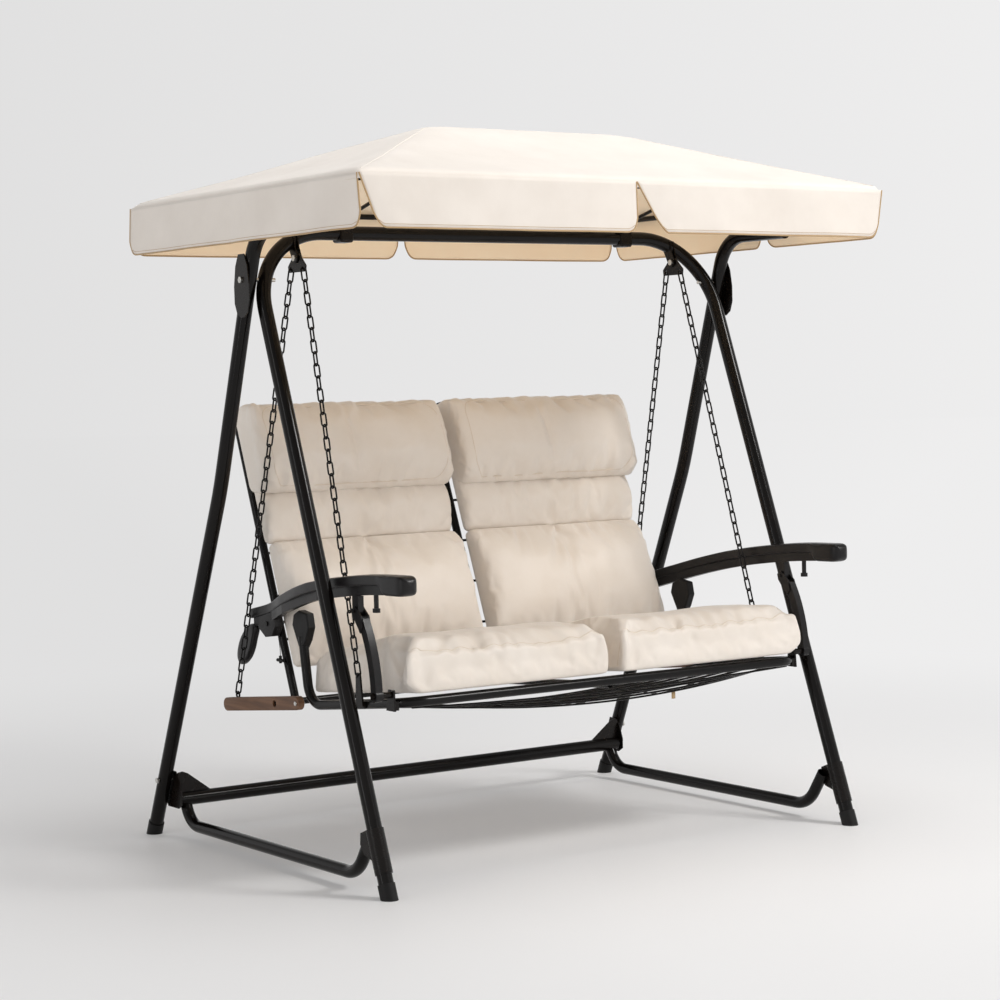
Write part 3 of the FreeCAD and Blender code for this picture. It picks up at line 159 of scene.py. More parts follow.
def gloss_paint(name, dark, light, low, high):
    """Black paint on steel: low and high are the limits of its roughness."""
    paint = Paint(name, dark, low, Specular_IOR_Level=0.20)
    paint.mottle(paint.noise(9.0, 4.0), dark, light)
    paint.rough(paint.noise(38.0, 5.0), low, high)
    paint.bump(paint.noise(420.0, 2.0), 0.10, 0.0004)
    return paint.material


def moulded_plastic(name, dark, light, low, high):
    """Black plastic or rubber with a fine grain."""
    paint = Paint(name, dark, low, Specular_IOR_Level=0.26)
    paint.mottle(paint.noise(14.0, 4.0), dark, light)
    paint.rough(paint.noise(30.0, 4.0), low, high)
    paint.bump(paint.noise(1500.0, 2.0), 0.18, 0.0004)
    return paint.material


def oiled_wood(name):
    paint = Paint(name, (0.14, 0.065, 0.03), 0.5, Specular_IOR_Level=0.4)
    grain = paint.noise(38.0, 7.0, (1.0, 0.07, 1.0), 0.62, 0.6)
    stops = [(0.30, (0.070, 0.030, 0.014)), (0.47, (0.140, 0.066, 0.032)), (0.62, (0.205, 0.104, 0.054))]
    paint.link(paint.ramp(grain, stops), paint.shader.inputs["Base Color"])
    paint.rough(grain, 0.38, 0.58)
    paint.bump(grain, 0.35, 0.0008)
    return paint.material


def woven(name, dark, light, roughness, sheen, thread, fold):
    """Cloth: slow colour drift, crossed threads as bump, soft crumples that are fold deep."""
    paint = Paint(name, light, roughness, Sheen_Weight=sheen, Sheen_Roughness=0.5, Specular_IOR_Level=0.35)
    paint.mottle(paint.noise(5.0, 5.0, rough=0.6), dark, light)
    paint.rough(paint.noise(24.0, 4.0), roughness - 0.06, roughness + 0.08)
    paint.bump(paint.noise(7.5, 3.0, rough=0.45), 0.55, fold)
    paint.bump(paint.threads(thread, "X"), 0.10, 0.0003)
    paint.bump(paint.threads(thread, "Z"), 0.10, 0.0003)
    paint.bump(paint.noise(900.0, 2.0), 0.12, 0.0003)
    return paint.material


STAND = gloss_paint("stand_gloss", (0.0030, 0.0023, 0.0020), (0.0050, 0.0038, 0.0032), 0.13, 0.22)
SEAT_STEEL = gloss_paint("seat_gloss", (0.0030, 0.0026, 0.0025), (0.0050, 0.0043, 0.0040), 0.15, 0.26)
BRACKET = gloss_paint("bracket_gloss", (0.0045, 0.0032, 0.0027), (0.0085, 0.0060, 0.0048), 0.20, 0.34)
CHAIN = gloss_paint("chain_black", (0.0040, 0.0037, 0.0037), (0.0090, 0.0080, 0.0078), 0.20, 0.36)
CAP = moulded_plastic("cap_rubber", (0.0040, 0.0037, 0.0037), (0.0070, 0.0063, 0.0060), 0.42, 0.60)
ARM = moulded_plastic("arm_moulded", (0.0060, 0.0052, 0.0054), (0.0105, 0.0092, 0.0094), 0.24, 0.40)
WOOD = oiled_wood("beam_wood_grain")
CUSHION = woven("cushion_fabric", (0.785, 0.707, 0.622), (0.850, 0.783, 0.712), 0.42, 0.20, 330.0, 0.006)
PIPING = woven("cushion_piping", (0.70, 0.60, 0.50), (0.79, 0.70, 0.60), 0.55, 0.2, 500.0, 0.002)
ROOF_OUT = woven("canopy_outside", (0.765, 0.697, 0.628), (0.835, 0.770, 0.702), 0.62, 0.3, 420.0, 0.006)
# Inside of the canopy: the same cloth painted a warmer tan, as painted light coming through the fabric.
ROOF_IN_PAINTED_THROUGH_LIGHT = woven("canopy_inside_painted_through_light", (0.90, 0.72, 0.51), (0.95, 0.80, 0.60), 0.70, 0.3, 420.0, 0.004)
HEM = woven("canopy_hem", (0.42, 0.27, 0.13), (0.52, 0.36, 0.19), 0.65, 0.2, 700.0, 0.001)


def zinc():
    paint = Paint("bolt_zinc_plate", (0.62, 0.61, 0.58), 0.3, Metallic=1.0)
    paint.mottle(paint.noise(160.0, 4.0), (0.50, 0.49, 0.46), (0.70, 0.69, 0.66))
    paint.rough(paint.noise(220.0, 4.0), 0.22, 0.42)
    paint.bump(paint.noise(700.0, 2.0), 0.10, 0.0003)
    return paint.material


ZINC = zinc()

# Painted glow: the inside of the canopy emits a warm light, standing in for daylight that comes through the canopy
# cloth.
through = ROOF_IN_PAINTED_THROUGH_LIGHT.node_tree.nodes["Principled BSDF"].inputs
through["Emission Color"].default_value = (1.0, 0.80, 0.58, 1.0)
through["Emission Strength"].default_value = 0.13

FINISH = [
    (STAND, ["front_leg_left", "front_leg_right", "top_bar", "rear_leg_left", "rear_leg_right", "rear_crossbar",
             "side_bar_left", "side_bar_right"]),
    (BRACKET, ["joint_plates", "hanger_brackets", "base_brackets", "side_bar_clamps", "canopy_clamps",
               "hanger_yokes", "support_brackets", "front_chain_lugs", "rear_chain_eyes"]),
    (SEAT_STEEL, ["seat_front_rail", "seat_side_rail_left", "seat_side_rail_right", "seat_rear_axle",
                  "seat_centre_rail", "seat_deck_wires", "back_frame_left", "back_frame_right",
                  "back_slats_left", "back_slats_right", "arm_pin_left", "arm_pin_right", "canopy_hoop",
                  "canopy_bows", "ridge_tube"]),
    (CHAIN, ["front_chains", "rear_chains"]),
    (ZINC, ["frame_bolts", "hanger_pins", "beam_bolts"]),
    (CAP, ["foot_caps", "recline_locks", "release_toggle"]),
    (ARM, ["armrest_pad_left", "armrest_pad_right", "armrest_rail_left", "armrest_rail_right",
           "arm_support_left", "arm_support_right", "recline_lever_left", "recline_lever_right",
           "lock_button_left", "lock_button_right"]),
    (WOOD, ["wood_beam_left", "wood_beam_right"]),
]
for material, names in FINISH:
    for name in names:
        for slot in NODES[name].material_slots:
            slot.material = material


# ------------------------------------------------------------------ mesh helpers

def add_mesh(name, points, faces, materials):
    mesh = bpy.data.meshes.new(name)
    mesh.from_pydata([tuple(p) for p in points], [], faces)
    for material in materials:
        mesh.materials.append(material)
    mesh.update()
    made = bpy.data.objects.new(name, mesh)
    bpy.context.collection.objects.link(made)
    for face in mesh.polygons:
        face.use_smooth = True
    return made


def line(name, points, radius, material):
    """Round cord or rod along points, as a curve."""
    data = bpy.data.curves.new(name, "CURVE")
    data.dimensions = "3D"
    data.bevel_depth = radius
    data.bevel_resolution = 3
    data.use_fill_caps = True
    data.resolution_u = 6
    spline = data.splines.new("NURBS")
    spline.points.add(len(points) - 1)
    for knot, point in zip(spline.points, points):
        knot.co = (*point, 1.0)
    spline.order_u = 3
    spline.use_endpoint_u = True
    data.materials.append(material)
    made = bpy.data.objects.new(name, data)
    bpy.context.collection.objects.link(made)
    return made


def grid_faces(columns, rows):
    """Quads of a grid of points stored row by row."""
    faces = []
    for row in range(rows - 1):
        for column in range(columns - 1):
            first = row * columns + column
            faces.append((first, first + 1, first + columns + 1, first + columns))
    return faces


def clamped(value):
    return max(0.0, min(1.0, value))


def near(value, place, width):
    """One at a place, falling off to zero over a width."""
    return math.exp(-((value - place) / width) ** 2)


def soft_noise(x, y, z):
    return noise.noise(Vector((x, y, z)))


cord = line("release_cord_line", CORD_ROUTE, CORD_DIAMETER / 2.0, CAP)
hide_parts("release_cord")
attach(cord, "armrest_left")

# ------------------------------------------------------------------ canopy

EAVE = 1.720
PEAK = 1.886
HALF_X = 0.818
FRONT_Y = -0.6326
REAR_Y = 0.558
RIDGE_HALF = 0.310
RIDGE_Y = -0.150
VALANCE_TOP = 1.712
VALANCE_LOW = 1.5865
CLOTH = 0.0012
HIP_ROUNDING = 0.022
RIDGE_LIMIT = 1.06
ROOF_SAG = 0.006
ROOF_WAVE = 0.0035
CORNER_PUCKER = 0.0022
HOOP_TURN = 0.013
HOOP_DROP = 0.009
TURN_DOWN = 0.014
SEAM_RADIUS = 0.0012


def soft_min(values, width):
    """Smallest value, with the corner between two values rounded over a width."""
    low = min(values)
    total = sum(math.exp((low - value) / width) for value in values)
    return low - width * math.log(total)


def roof_height(x, y):
    """Height of the stretched roof: four panels with soft hips, a little sag, and pulled corners."""
    planes = [(y - FRONT_Y) / (RIDGE_Y - FRONT_Y), (REAR_Y - y) / (REAR_Y - RIDGE_Y),
              (HALF_X - x) / (HALF_X - RIDGE_HALF), (HALF_X + x) / (HALF_X - RIDGE_HALF), RIDGE_LIMIT]
    share = max(0.0, soft_min(planes, HIP_ROUNDING))
    z = EAVE + (PEAK - EAVE) * share + 0.001
    ordered = sorted(planes[:4])
    off_hip = min(1.0, (ordered[1] - ordered[0]) * 2.2)
    middle = math.sin(math.pi * min(1.0, share))
    z -= ROOF_SAG * middle * off_hip
    z += ROOF_WAVE * soft_noise(x * 3.1, y * 3.1, 0.3) * middle
    for corner_x in (-HALF_X, HALF_X):
        for corner_y in (FRONT_Y, REAR_Y):
            dx = x - corner_x
            dy = y - corner_y
            reach = math.hypot(dx, dy)
            if 1e-6 < reach < 0.45:
                angle = math.atan2(abs(dy), abs(dx))
                fold = math.sin(angle * 17.0 + corner_x * 3.0) * math.sin(2.0 * angle)
                z += CORNER_PUCKER * fold * math.exp(-reach / 0.13) * min(1.0, reach / 0.05)
    return z


def roof_sheet():
    """The roof as one sheet: hips, ridge, sag, and the turn-down over the hoop at the eave."""
    columns, rows, turn = 121, 91, 4
    points = []
    for row in range(-turn, rows + turn):
        for column in range(-turn, columns + turn):
            inner_column = min(max(column, 0), columns - 1)
            inner_row = min(max(row, 0), rows - 1)
            x = -HALF_X + 2.0 * HALF_X * inner_column / (columns - 1)
            y = FRONT_Y + (REAR_Y - FRONT_Y) * inner_row / (rows - 1)
            over = max(-column, column - columns + 1, -row, row - rows + 1, 0) / turn
            z = roof_height(x, y)
            edge = min(HALF_X - abs(x), y - FRONT_Y, REAR_Y - y)
            if edge < HOOP_TURN:
                lift = 1.0 - edge / HOOP_TURN
                z -= HOOP_DROP * (1.0 - math.sqrt(max(0.0, 1.0 - lift * lift)))
            if over > 0.0:
                z -= TURN_DOWN * over
                x += math.copysign(0.0008, x) * over
            points.append((x, y, z))
    made = add_mesh("canopy_roof_cloth", points, grid_faces(columns + 2 * turn, rows + 2 * turn),
                    [ROOF_OUT, ROOF_IN_PAINTED_THROUGH_LIGHT, HEM])
    weld(made)
    return made


def weld(made):
    """Joins points that lie on each other and turns every face outward."""
    work = bmesh.new()
    work.from_mesh(made.data)
    bmesh.ops.remove_doubles(work, verts=work.verts, dist=0.00002)
    bmesh.ops.recalc_face_normals(work, faces=work.faces)
    work.to_mesh(made.data)
    work.free()


def cloth_sides(made, thick):
    """Gives a sheet its thickness, with the painted through-light tan on its back in place of a lining."""
    solid = made.modifiers.new("thickness", "SOLIDIFY")
    solid.thickness = thick
    solid.offset = -1.0
    solid.material_offset = 1
    solid.material_offset_rim = 2


roof = roof_sheet()
cloth_sides(roof, CLOTH)
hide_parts("canopy_roof")
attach(roof, "canopy")

HIP_STEPS = 28
RIDGE_STEPS = 20
SEAM_SUNK = 0.0002
hip_lines = []
for side in (-1.0, 1.0):
    for edge_y in (FRONT_Y, REAR_Y):
        points = []
        for step in range(HIP_STEPS + 1):
            share = step / HIP_STEPS
            x = side * (HALF_X - (HALF_X - RIDGE_HALF) * share)
            y = edge_y + (RIDGE_Y - edge_y) * share
            points.append((x, y, roof_height(x, y) - SEAM_SUNK))
        hip_lines.append(points)
ridge_xs = [-RIDGE_HALF + 2.0 * RIDGE_HALF * step / RIDGE_STEPS for step in range(RIDGE_STEPS + 1)]
hip_lines.append([(x, RIDGE_Y, roof_height(x, RIDGE_Y) - SEAM_SUNK) for x in ridge_xs])
for index, points in enumerate(hip_lines):
    seam = line("canopy_seam_%d" % index, points[1:-1], SEAM_RADIUS, ROOF_OUT)
    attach(seam, "canopy")


CORNER_RADIUS = 0.034
VALANCE_ROWS = 15
COLUMN_STEP = 0.011
CUT_REACH = 0.16
BINDING_STEPS = 90
END_STEPS = 11
STITCH_STEPS = 80
BINDING_RADIUS = 0.0021
STITCH_RADIUS = 0.0005


def valance(name, start, end, out, replaced, seed, cut_start=0.0, cut_end=0.0, seam_at=None):
    """One hanging flap of the valance from start to end along the eave, with a bound edge.
    cut_start and cut_end say how far the lower corners are drawn in."""
    start = Vector((*start, 0.0))
    end = Vector((*end, 0.0))
    out = Vector((*out, 0.0))
    length = (end - start).length
    along = (end - start) / length
    height = VALANCE_TOP - VALANCE_LOW
    columns = max(24, int(length / COLUMN_STEP))

    def depth_at(u):
        rest = min(u, length - u)
        if rest >= CORNER_RADIUS:
            return height
        return height - (CORNER_RADIUS - math.sqrt(max(0.0, CORNER_RADIUS ** 2 - (CORNER_RADIUS - rest) ** 2)))

    def place(u, share):
        depth = depth_at(u)
        down = depth * share
        fall = down / height
        near_start = max(0.0, 1.0 - u / CUT_REACH)
        near_end = max(0.0, 1.0 - (length - u) / CUT_REACH)
        slide = cut_start * fall * near_start ** 1.3 - cut_end * fall * near_end ** 1.3
        swell = 0.0080 * soft_noise(u * 4.3, seed * 3.7, 0.2)
        swell += 0.0034 * math.sin(u * 19.0 + seed) + 0.0024 * soft_noise(u * 15.0, seed, fall * 2.0)
        bulge = fall ** 1.3 * (0.004 + swell)
        bulge -= 0.010 * fall * (near_start ** 2 * (cut_start > 0.0) + near_end ** 2 * (cut_end > 0.0))
        bulge += 0.0022 * math.sin(math.pi * fall) * soft_noise(u * 9.0, 4.0 + seed, fall)
        if seam_at is not None:
            bulge -= 0.0025 * math.exp(-((u - seam_at) / 0.010) ** 2) * fall
        base = start + along * (u + slide) + out * (0.0012 + bulge)
        return Vector((base.x, base.y, VALANCE_TOP - down))

    points = []
    for row in range(VALANCE_ROWS):
        for column in range(columns):
            points.append(place(length * column / (columns - 1), row / (VALANCE_ROWS - 1)))
    made = add_mesh(name, points, grid_faces(columns, VALANCE_ROWS), [ROOF_OUT, ROOF_IN_PAINTED_THROUGH_LIGHT, HEM])
    if made.data.polygons[0].normal.dot(out) < 0.0:
        made.data.flip_normals()
    cloth_sides(made, CLOTH)
    binding = [place(0.0, row / END_STEPS) for row in range(END_STEPS)]
    binding += [place(length * column / BINDING_STEPS, 1.0) for column in range(BINDING_STEPS + 1)]
    binding += [place(length, 1.0 - row / END_STEPS) for row in range(1, END_STEPS + 1)]
    binding = [point - out * (CLOTH * 0.5) for point in binding]
    hem = line(name + "_binding", binding, BINDING_RADIUS, HEM)
    stitch = [place(length * (0.012 + 0.976 * column / STITCH_STEPS), 0.935) + out * 0.0003
              for column in range(STITCH_STEPS + 1)]
    stitch_line = line(name + "_stitch", stitch, STITCH_RADIUS, HEM)
    for piece in (made, hem, stitch_line):
        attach(piece, "canopy")
    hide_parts(replaced)


EDGE_X = HALF_X - 0.002
valance("valance_front_left", (-EDGE_X, FRONT_Y), (-0.012, FRONT_Y), (0, -1), "long_valances", 1, 0.054, 0.0)
valance("valance_front_right", (-0.010, FRONT_Y), (EDGE_X, FRONT_Y), (0, -1), "long_valances", 2, 0.085, 0.012)
valance("valance_rear_left", (-EDGE_X, REAR_Y), (0.038, REAR_Y), (0, 1), "long_valances", 3, 0.004, 0.012)
valance("valance_rear_right", (0.046, REAR_Y), (EDGE_X, REAR_Y), (0, 1), "long_valances", 4, 0.012, 0.02)
SIDE_F = FRONT_Y + 0.004
SIDE_R = REAR_Y - 0.004
valance("valance_left", (-HALF_X, SIDE_F), (-HALF_X, SIDE_R), (-1, 0), "side_valances", 5, 0.006, 0.0, 0.62)
valance("valance_right_front", (HALF_X, SIDE_F), (HALF_X, -0.155), (1, 0), "side_valances", 6, 0.01, 0.012)
valance("valance_right_rear", (HALF_X, -0.147), (HALF_X, SIDE_R), (1, 0), "side_valances", 7, 0.012, 0.02)

# ------------------------------------------------------------------ cushions

LEAN = math.atan(0.385)
BACK_UP = Vector((0.0, math.sin(LEAN), math.cos(LEAN)))
BACK_OUT = Vector((0.0, -math.cos(LEAN), math.sin(LEAN)))
AXLE = Vector((0.0, 0.108, 0.398))
SIDE = Vector((1.0, 0.0, 0.0))


BEVEL_SEGMENTS = 4
PRESSURE = 4.5
SIM_FRAMES = 20
SHEET_STIFFNESS = 12.0


def block_mesh(outline, width, margin, bevel):
    """Closed form: an outline in (across, depth) swept along the width, edges rounded."""
    work = bmesh.new()
    rings = []
    for x in (margin, width - margin):
        rings.append([work.verts.new((x, a, b)) for a, b in outline])
    count = len(outline)
    work.faces.new(list(reversed(rings[0])))
    work.faces.new(rings[1])
    for i in range(count):
        j = (i + 1) % count
        work.faces.new((rings[0][i], rings[0][j], rings[1][j], rings[1][i]))
    bmesh.ops.recalc_face_normals(work, faces=work.faces)
    bmesh.ops.bevel(work, geom=list(work.edges), offset=bevel, segments=BEVEL_SEGMENTS, profile=0.6, affect="EDGES")
    return work


def evaluated(made):
    """The mesh of an object with its modifiers applied."""
    graph = bpy.context.evaluated_depsgraph_get()
    return bpy.data.meshes.new_from_object(made.evaluated_get(graph))


def inflate(made, voxel, cap, pinned, growth):
    """Remeshes a closed form, blows it up as cloth and keeps the result.
    cap limits how far a point may move, pinned gives how firmly a point is held, and a negative
    growth lets the cloth grow by that share."""
    remesh = made.modifiers.new("remesh", "REMESH")
    remesh.mode = "VOXEL"
    remesh.voxel_size = voxel
    fine = evaluated(made)
    made.modifiers.clear()
    made.data = fine
    start = [v.co.copy() for v in fine.vertices]
    group = made.vertex_groups.new(name="held")
    for index, point in enumerate(start):
        weight = pinned(point)
        if weight > 0.0:
            group.add([index], weight, "REPLACE")
    cloth = made.modifiers.new("cloth", "CLOTH")
    cloth.settings.quality = 5
    cloth.settings.mass = 0.25
    cloth.settings.tension_stiffness = SHEET_STIFFNESS
    cloth.settings.compression_stiffness = SHEET_STIFFNESS
    cloth.settings.shear_stiffness = 4.0
    cloth.settings.bending_stiffness = 0.25
    cloth.settings.use_pressure = True
    cloth.settings.uniform_pressure_force = PRESSURE
    cloth.settings.shrink_min = growth
    cloth.settings.vertex_group_mass = "held"
    cloth.settings.effector_weights.gravity = 0.0
    cloth.collision_settings.use_collision = False
    cloth.point_cache.frame_start = 1
    cloth.point_cache.frame_end = SIM_FRAMES
    scene = bpy.context.scene
    for number in range(1, SIM_FRAMES + 1):
        scene.frame_set(number)
    blown = evaluated(made)
    scene.frame_set(1)
    made.modifiers.clear()
    for vertex, before, after in zip(made.data.vertices, start, blown.vertices):
        move = after.co - before
        if move.length > cap:
            move *= cap / move.length
        vertex.co = before + move
    bpy.data.meshes.remove(blown)


def finish_soft(made):
    """Cushion cloth, smooth shading and one step of subdivision."""
    made.data.materials.clear()
    made.data.materials.append(CUSHION)
    for face in made.data.polygons:
        face.use_smooth = True
    smooth = made.modifiers.new("relax", "SMOOTH")
    smooth.factor = 0.5
    smooth.iterations = 2
    sub = made.modifiers.new("finer", "SUBSURF")
    sub.levels = sub.render_levels = 1


def pucker(made, folds):
    """Moves each point of the cloth by what folds gives for it."""
    for vertex in made.data.vertices:
        vertex.co += folds(vertex.co)


def cushion_object(name, work):
    mesh = bpy.data.meshes.new(name)
    work.to_mesh(mesh)
    work.free()
    made = bpy.data.objects.new(name, mesh)
    bpy.context.collection.objects.link(made)
    return made


FOLD_WIDTH = 0.0065
FOLD_START = 0.02


def strokes(seed, count, edge, lengths, depth):
    """Seeded folds in the cloth: each a short straight crease with a soft ridge beside it.
    edge is where they start, from x0 to x1 at y, and which way along y they run."""
    rows = []
    x0, x1, y, way_y = edge
    for index in range(count):
        pick = [0.5 + 0.5 * soft_noise(index * 3.7 + k * 1.3, seed * 2.9 + k, 0.37) * 1.7 for k in range(4)]
        x = x0 + (x1 - x0) * (index + 0.2 + 0.6 * clamped(pick[0])) / count
        lean = (pick[1] - 0.5) * 1.7
        length = lengths[0] + (lengths[1] - lengths[0]) * clamped(pick[2])
        way = Vector((math.sin(lean), way_y * math.cos(lean)))
        rows.append((Vector((x, y)), way, length, FOLD_WIDTH + 0.006 * clamped(pick[3]), depth))
    return rows


def tuck(x, y, reach, depth, spokes):
    """A pinched point with creases running out of it."""
    rows = []
    for angle, share in spokes:
        turn = math.radians(angle)
        rows.append((Vector((x, y)), Vector((math.cos(turn), math.sin(turn))), reach * share, 0.010, depth))
    return rows


def fold_depth(x, y, rows):
    """How far the cloth is drawn in at a point by a list of creases."""
    total = 0.0
    here = Vector((x, y))
    for start, way, length, width, depth in rows:
        away = here - start
        along = away.dot(way)
        if along < -FOLD_START or along > length:
            continue
        across = (away.x * way.y - away.y * way.x) / (width * (1.0 + 1.2 * max(0.0, along) / length))
        fade = math.cos(0.5 * math.pi * max(0.0, along) / length) * min(1.0, (along + FOLD_START) / FOLD_START)
        total += depth * fade * (-math.exp(-across * across) + 0.55 * math.exp(-(across - 1.5) ** 2))
    return total


PIPING_RADIUS = 0.0017


def surface_line(made, name, places, sunk):
    """Piping laid on the cloth where rays from the places, straight down local z, meet it."""
    points = []
    for place in places:
        hit, where, normal, face = made.ray_cast(place, Vector((0.0, 0.0, -1.0)))
        if hit:
            points.append(where - normal * sunk)
    return line(name, points, PIPING_RADIUS, PIPING) if len(points) > 3 else None


def placed(made, seam, place):
    """Takes a cushion and its piping from local coordinates to their place."""
    made.data.transform(place)
    made.data.update()
    if seam is not None:
        seam.data.transform(place)
    return made, seam


def ring_path(low_x, high_x, low_y, high_y, radius, height):
    """Closed path round a rectangle with rounded corners."""
    corners = [(high_x - radius, high_y - radius), (low_x + radius, high_y - radius),
               (low_x + radius, low_y + radius), (high_x - radius, low_y + radius)]
    path = []
    for index, (cx, cy) in enumerate(corners):
        for step in range(9):
            angle = math.radians(90 * index + 11.25 * step)
            path.append(Vector((cx + radius * math.cos(angle), cy + radius * math.sin(angle), height)))
    return [a.lerp(b, k / 4.0) for a, b in zip(path, path[1:] + path[:1]) for k in range(4)]


PILLOW_GROWTH = -0.045
PILLOW_CAP = 0.026
MIDDLE_CAP = 0.015
PIPING_INSET = 0.030


def back_pillow(name, band, side, low, high, thick, seed, shape):
    """One band of a reclining back. Local x runs along the seat, y up the back, z forward."""
    inner, outer, drop, roll = shape
    width = outer - inner
    height = high - low
    outline = [(0.004, 0.006), (height - 0.004, 0.006), (height - 0.006, thick * 0.50),
               (height - roll, thick - 0.020), (height * 0.5, thick - 0.012), (roll - drop, thick - 0.018),
               (0.004 - drop, thick * 0.50)]
    made = cushion_object(name, block_mesh(outline, width, 0.005, 0.016))

    def held(p):
        """The back is fixed, and the seams at the sides, top and bottom are nearly so."""
        if p.z < 0.014:
            return 1.0
        edge = min(p.x - 0.005, width - 0.005 - p.x)
        if edge < 0.006 and p.z < thick * 0.55:
            return 0.9
        if (p.y > height - 0.012 or p.y < 0.010 - drop) and p.z < thick * 0.62:
            return 0.9
        return 0.0

    inflate(made, 0.0075, MIDDLE_CAP if band == "middle" else PILLOW_CAP, held, PILLOW_GROWTH)
    rows = strokes(seed, 9, (0.02, width - 0.02, height - 0.012, -1.0), (0.04, 0.11), 0.0092)
    rows += strokes(seed + 7, 8, (0.02, width - 0.02, 0.010 - drop, 1.0), (0.04, 0.12), 0.0098)
    if band == "lower":
        spokes = ((-62, 0.9), (-88, 1.0), (-116, 1.1), (-28, 0.55))
        rows += tuck(width * 0.50, height - 0.010, 0.16, 0.0150, spokes)
    if band == "middle":
        rows += tuck(width * 0.50, 0.012, 0.11, 0.0100, ((60, 0.8), (98, 0.9), (130, 0.6)))
        rows += tuck(width * 0.62, height - 0.02, 0.09, 0.0080, ((-80, 0.9), (-120, 0.9)))

    def folds(point):
        face = clamped((point.z - 0.03) / 0.04)
        slow = 0.0100 * soft_noise(point.x * 5.0 + seed, point.y * 6.0, 0.7 * seed)
        slow += 0.0045 * soft_noise(point.x * 12.0 + seed, point.y * 9.0 - seed, 2.0)
        return Vector((0.0, 0.0, face * (slow + fold_depth(point.x, point.y, rows))))

    pucker(made, folds)
    finish_soft(made)
    seam = None
    if band == "head":
        path = ring_path(PIPING_INSET, width - PIPING_INSET, 0.016 - drop, height - PIPING_INSET, 0.045, 0.4)
        bpy.context.view_layer.update()
        seam = surface_line(made, name + "_piping", path, 0.0006)
    origin = Vector((inner if side > 0 else -outer, 0.0, 0.0)) + AXLE + BACK_UP * low + BACK_OUT * 0.014
    turn = Matrix((SIDE, BACK_UP, BACK_OUT)).transposed().to_4x4()
    return placed(made, seam, Matrix.Translation(origin) @ turn)


SEAT_WIDTH = 0.602
SEAT_INNER = 0.010
SEAT_PIPING_Y = -0.466
CORNER_REACH = 0.033


def seat_pad(name, side, seed):
    """One seat cushion. Local x runs along the seat; y and z are the row's."""
    width = SEAT_WIDTH
    outline = [(-0.498, 0.473), (-0.507, 0.530), (-0.500, 0.574), (-0.462, 0.580), (-0.330, 0.580),
               (0.020, 0.512), (0.022, 0.428), (-0.392, 0.465)]
    made = cushion_object(name, block_mesh(outline, width, 0.008, 0.018))

    def held(p):
        """The underside is fixed, and the lower front edge is nearly so."""
        low_side = 0.466 - (p.y + 0.392) * 0.092
        if p.z < low_side + 0.004:
            return 1.0
        if p.z < 0.482 and p.y < -0.480:
            return 0.8
        return 0.0

    inflate(made, 0.0085, 0.022, held, -0.035)
    top_rows = strokes(seed + 3, 12, (0.02, width - 0.02, -0.470, 1.0), (0.05, 0.12), 0.0075)
    top_rows += tuck(width * 0.36, -0.455, 0.10, 0.0075, ((70, 0.9), (110, 0.8), (40, 0.6)))
    front_rows = strokes(seed + 5, 15, (0.02, width - 0.02, 0.572, -1.0), (0.03, 0.075), 0.0090)
    front_rows += tuck(width * 0.42, 0.540, 0.06, 0.0100, ((-60, 0.9), (-100, 1.0), (-140, 0.7), (20, 0.6)))
    outward = -1.0 if side < 0 else 1.0

    def folds(point):
        """Creases on top and in front, the dip of the piping, and the outer front corner drawn out."""
        front = near(min(-0.49, point.y), -0.506, 0.02) if point.y > -0.506 else 1.0
        front *= clamped((-0.470 - point.y) / 0.02)
        top = clamped((point.z - 0.52) / 0.03)
        slow = soft_noise(point.x * 6.0 + seed, point.y * 6.0, seed)
        lift = top * (0.006 * slow + fold_depth(point.x, point.y, top_rows))
        lift -= top * 0.004 * near(point.y, SEAT_PIPING_Y, 0.007)
        push = -front * fold_depth(point.x, point.z, front_rows) - front * 0.004 * slow
        across = point.x if outward < 0.0 else width - point.x
        reach = max(0.0, 1.0 - across / 0.11) * clamped((-0.415 - point.y) / 0.045)
        out = outward * CORNER_REACH * reach * clamped((point.z - 0.478) / 0.02)
        return Vector((out, push, lift))

    pucker(made, folds)
    finish_soft(made)
    bpy.context.view_layer.update()
    path = [Vector((0.014 + (width - 0.028) * step / 70.0, SEAT_PIPING_Y, 0.8)) for step in range(71)]
    seam = surface_line(made, name + "_piping", path, 0.0004)
    return placed(made, seam, Matrix.Translation((SEAT_INNER if side > 0 else -SEAT_INNER - width, 0.0, 0.0)))


# Each band: name, lower and upper end along the back, depth, and (inner x, outer x, drop, roll).
BANDS = [("lower", 0.078, 0.430, 0.096, (0.019, 0.608, 0.0, 0.050)),
         ("middle", 0.420, 0.600, 0.072, (0.019, 0.616, 0.0, 0.040)),
         ("head", 0.572, 0.814, 0.130, (0.018, 0.627, 0.026, 0.028))]


def dress(pieces, body):
    for piece in pieces:
        if piece is not None:
            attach(piece, body)


for side, hand in ((-1, "left"), (1, "right")):
    for number, (band, low, high, thick, shape) in enumerate(BANDS):
        pillow, seam = back_pillow("back_%s_pillow_%s" % (band, hand), band, side, low, high, thick,
                                   number + 3 * side + 4, shape)
        dress((pillow, seam), "back_" + hand)
        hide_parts("back_cushion_" + hand)
    pad, seam = seat_pad("seat_pad_" + hand, side, 2.0 + side)
    dress((pad, seam), "swing")
    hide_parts("seat_cushion_" + hand)

# ------------------------------------------------------------------ armrests and levers

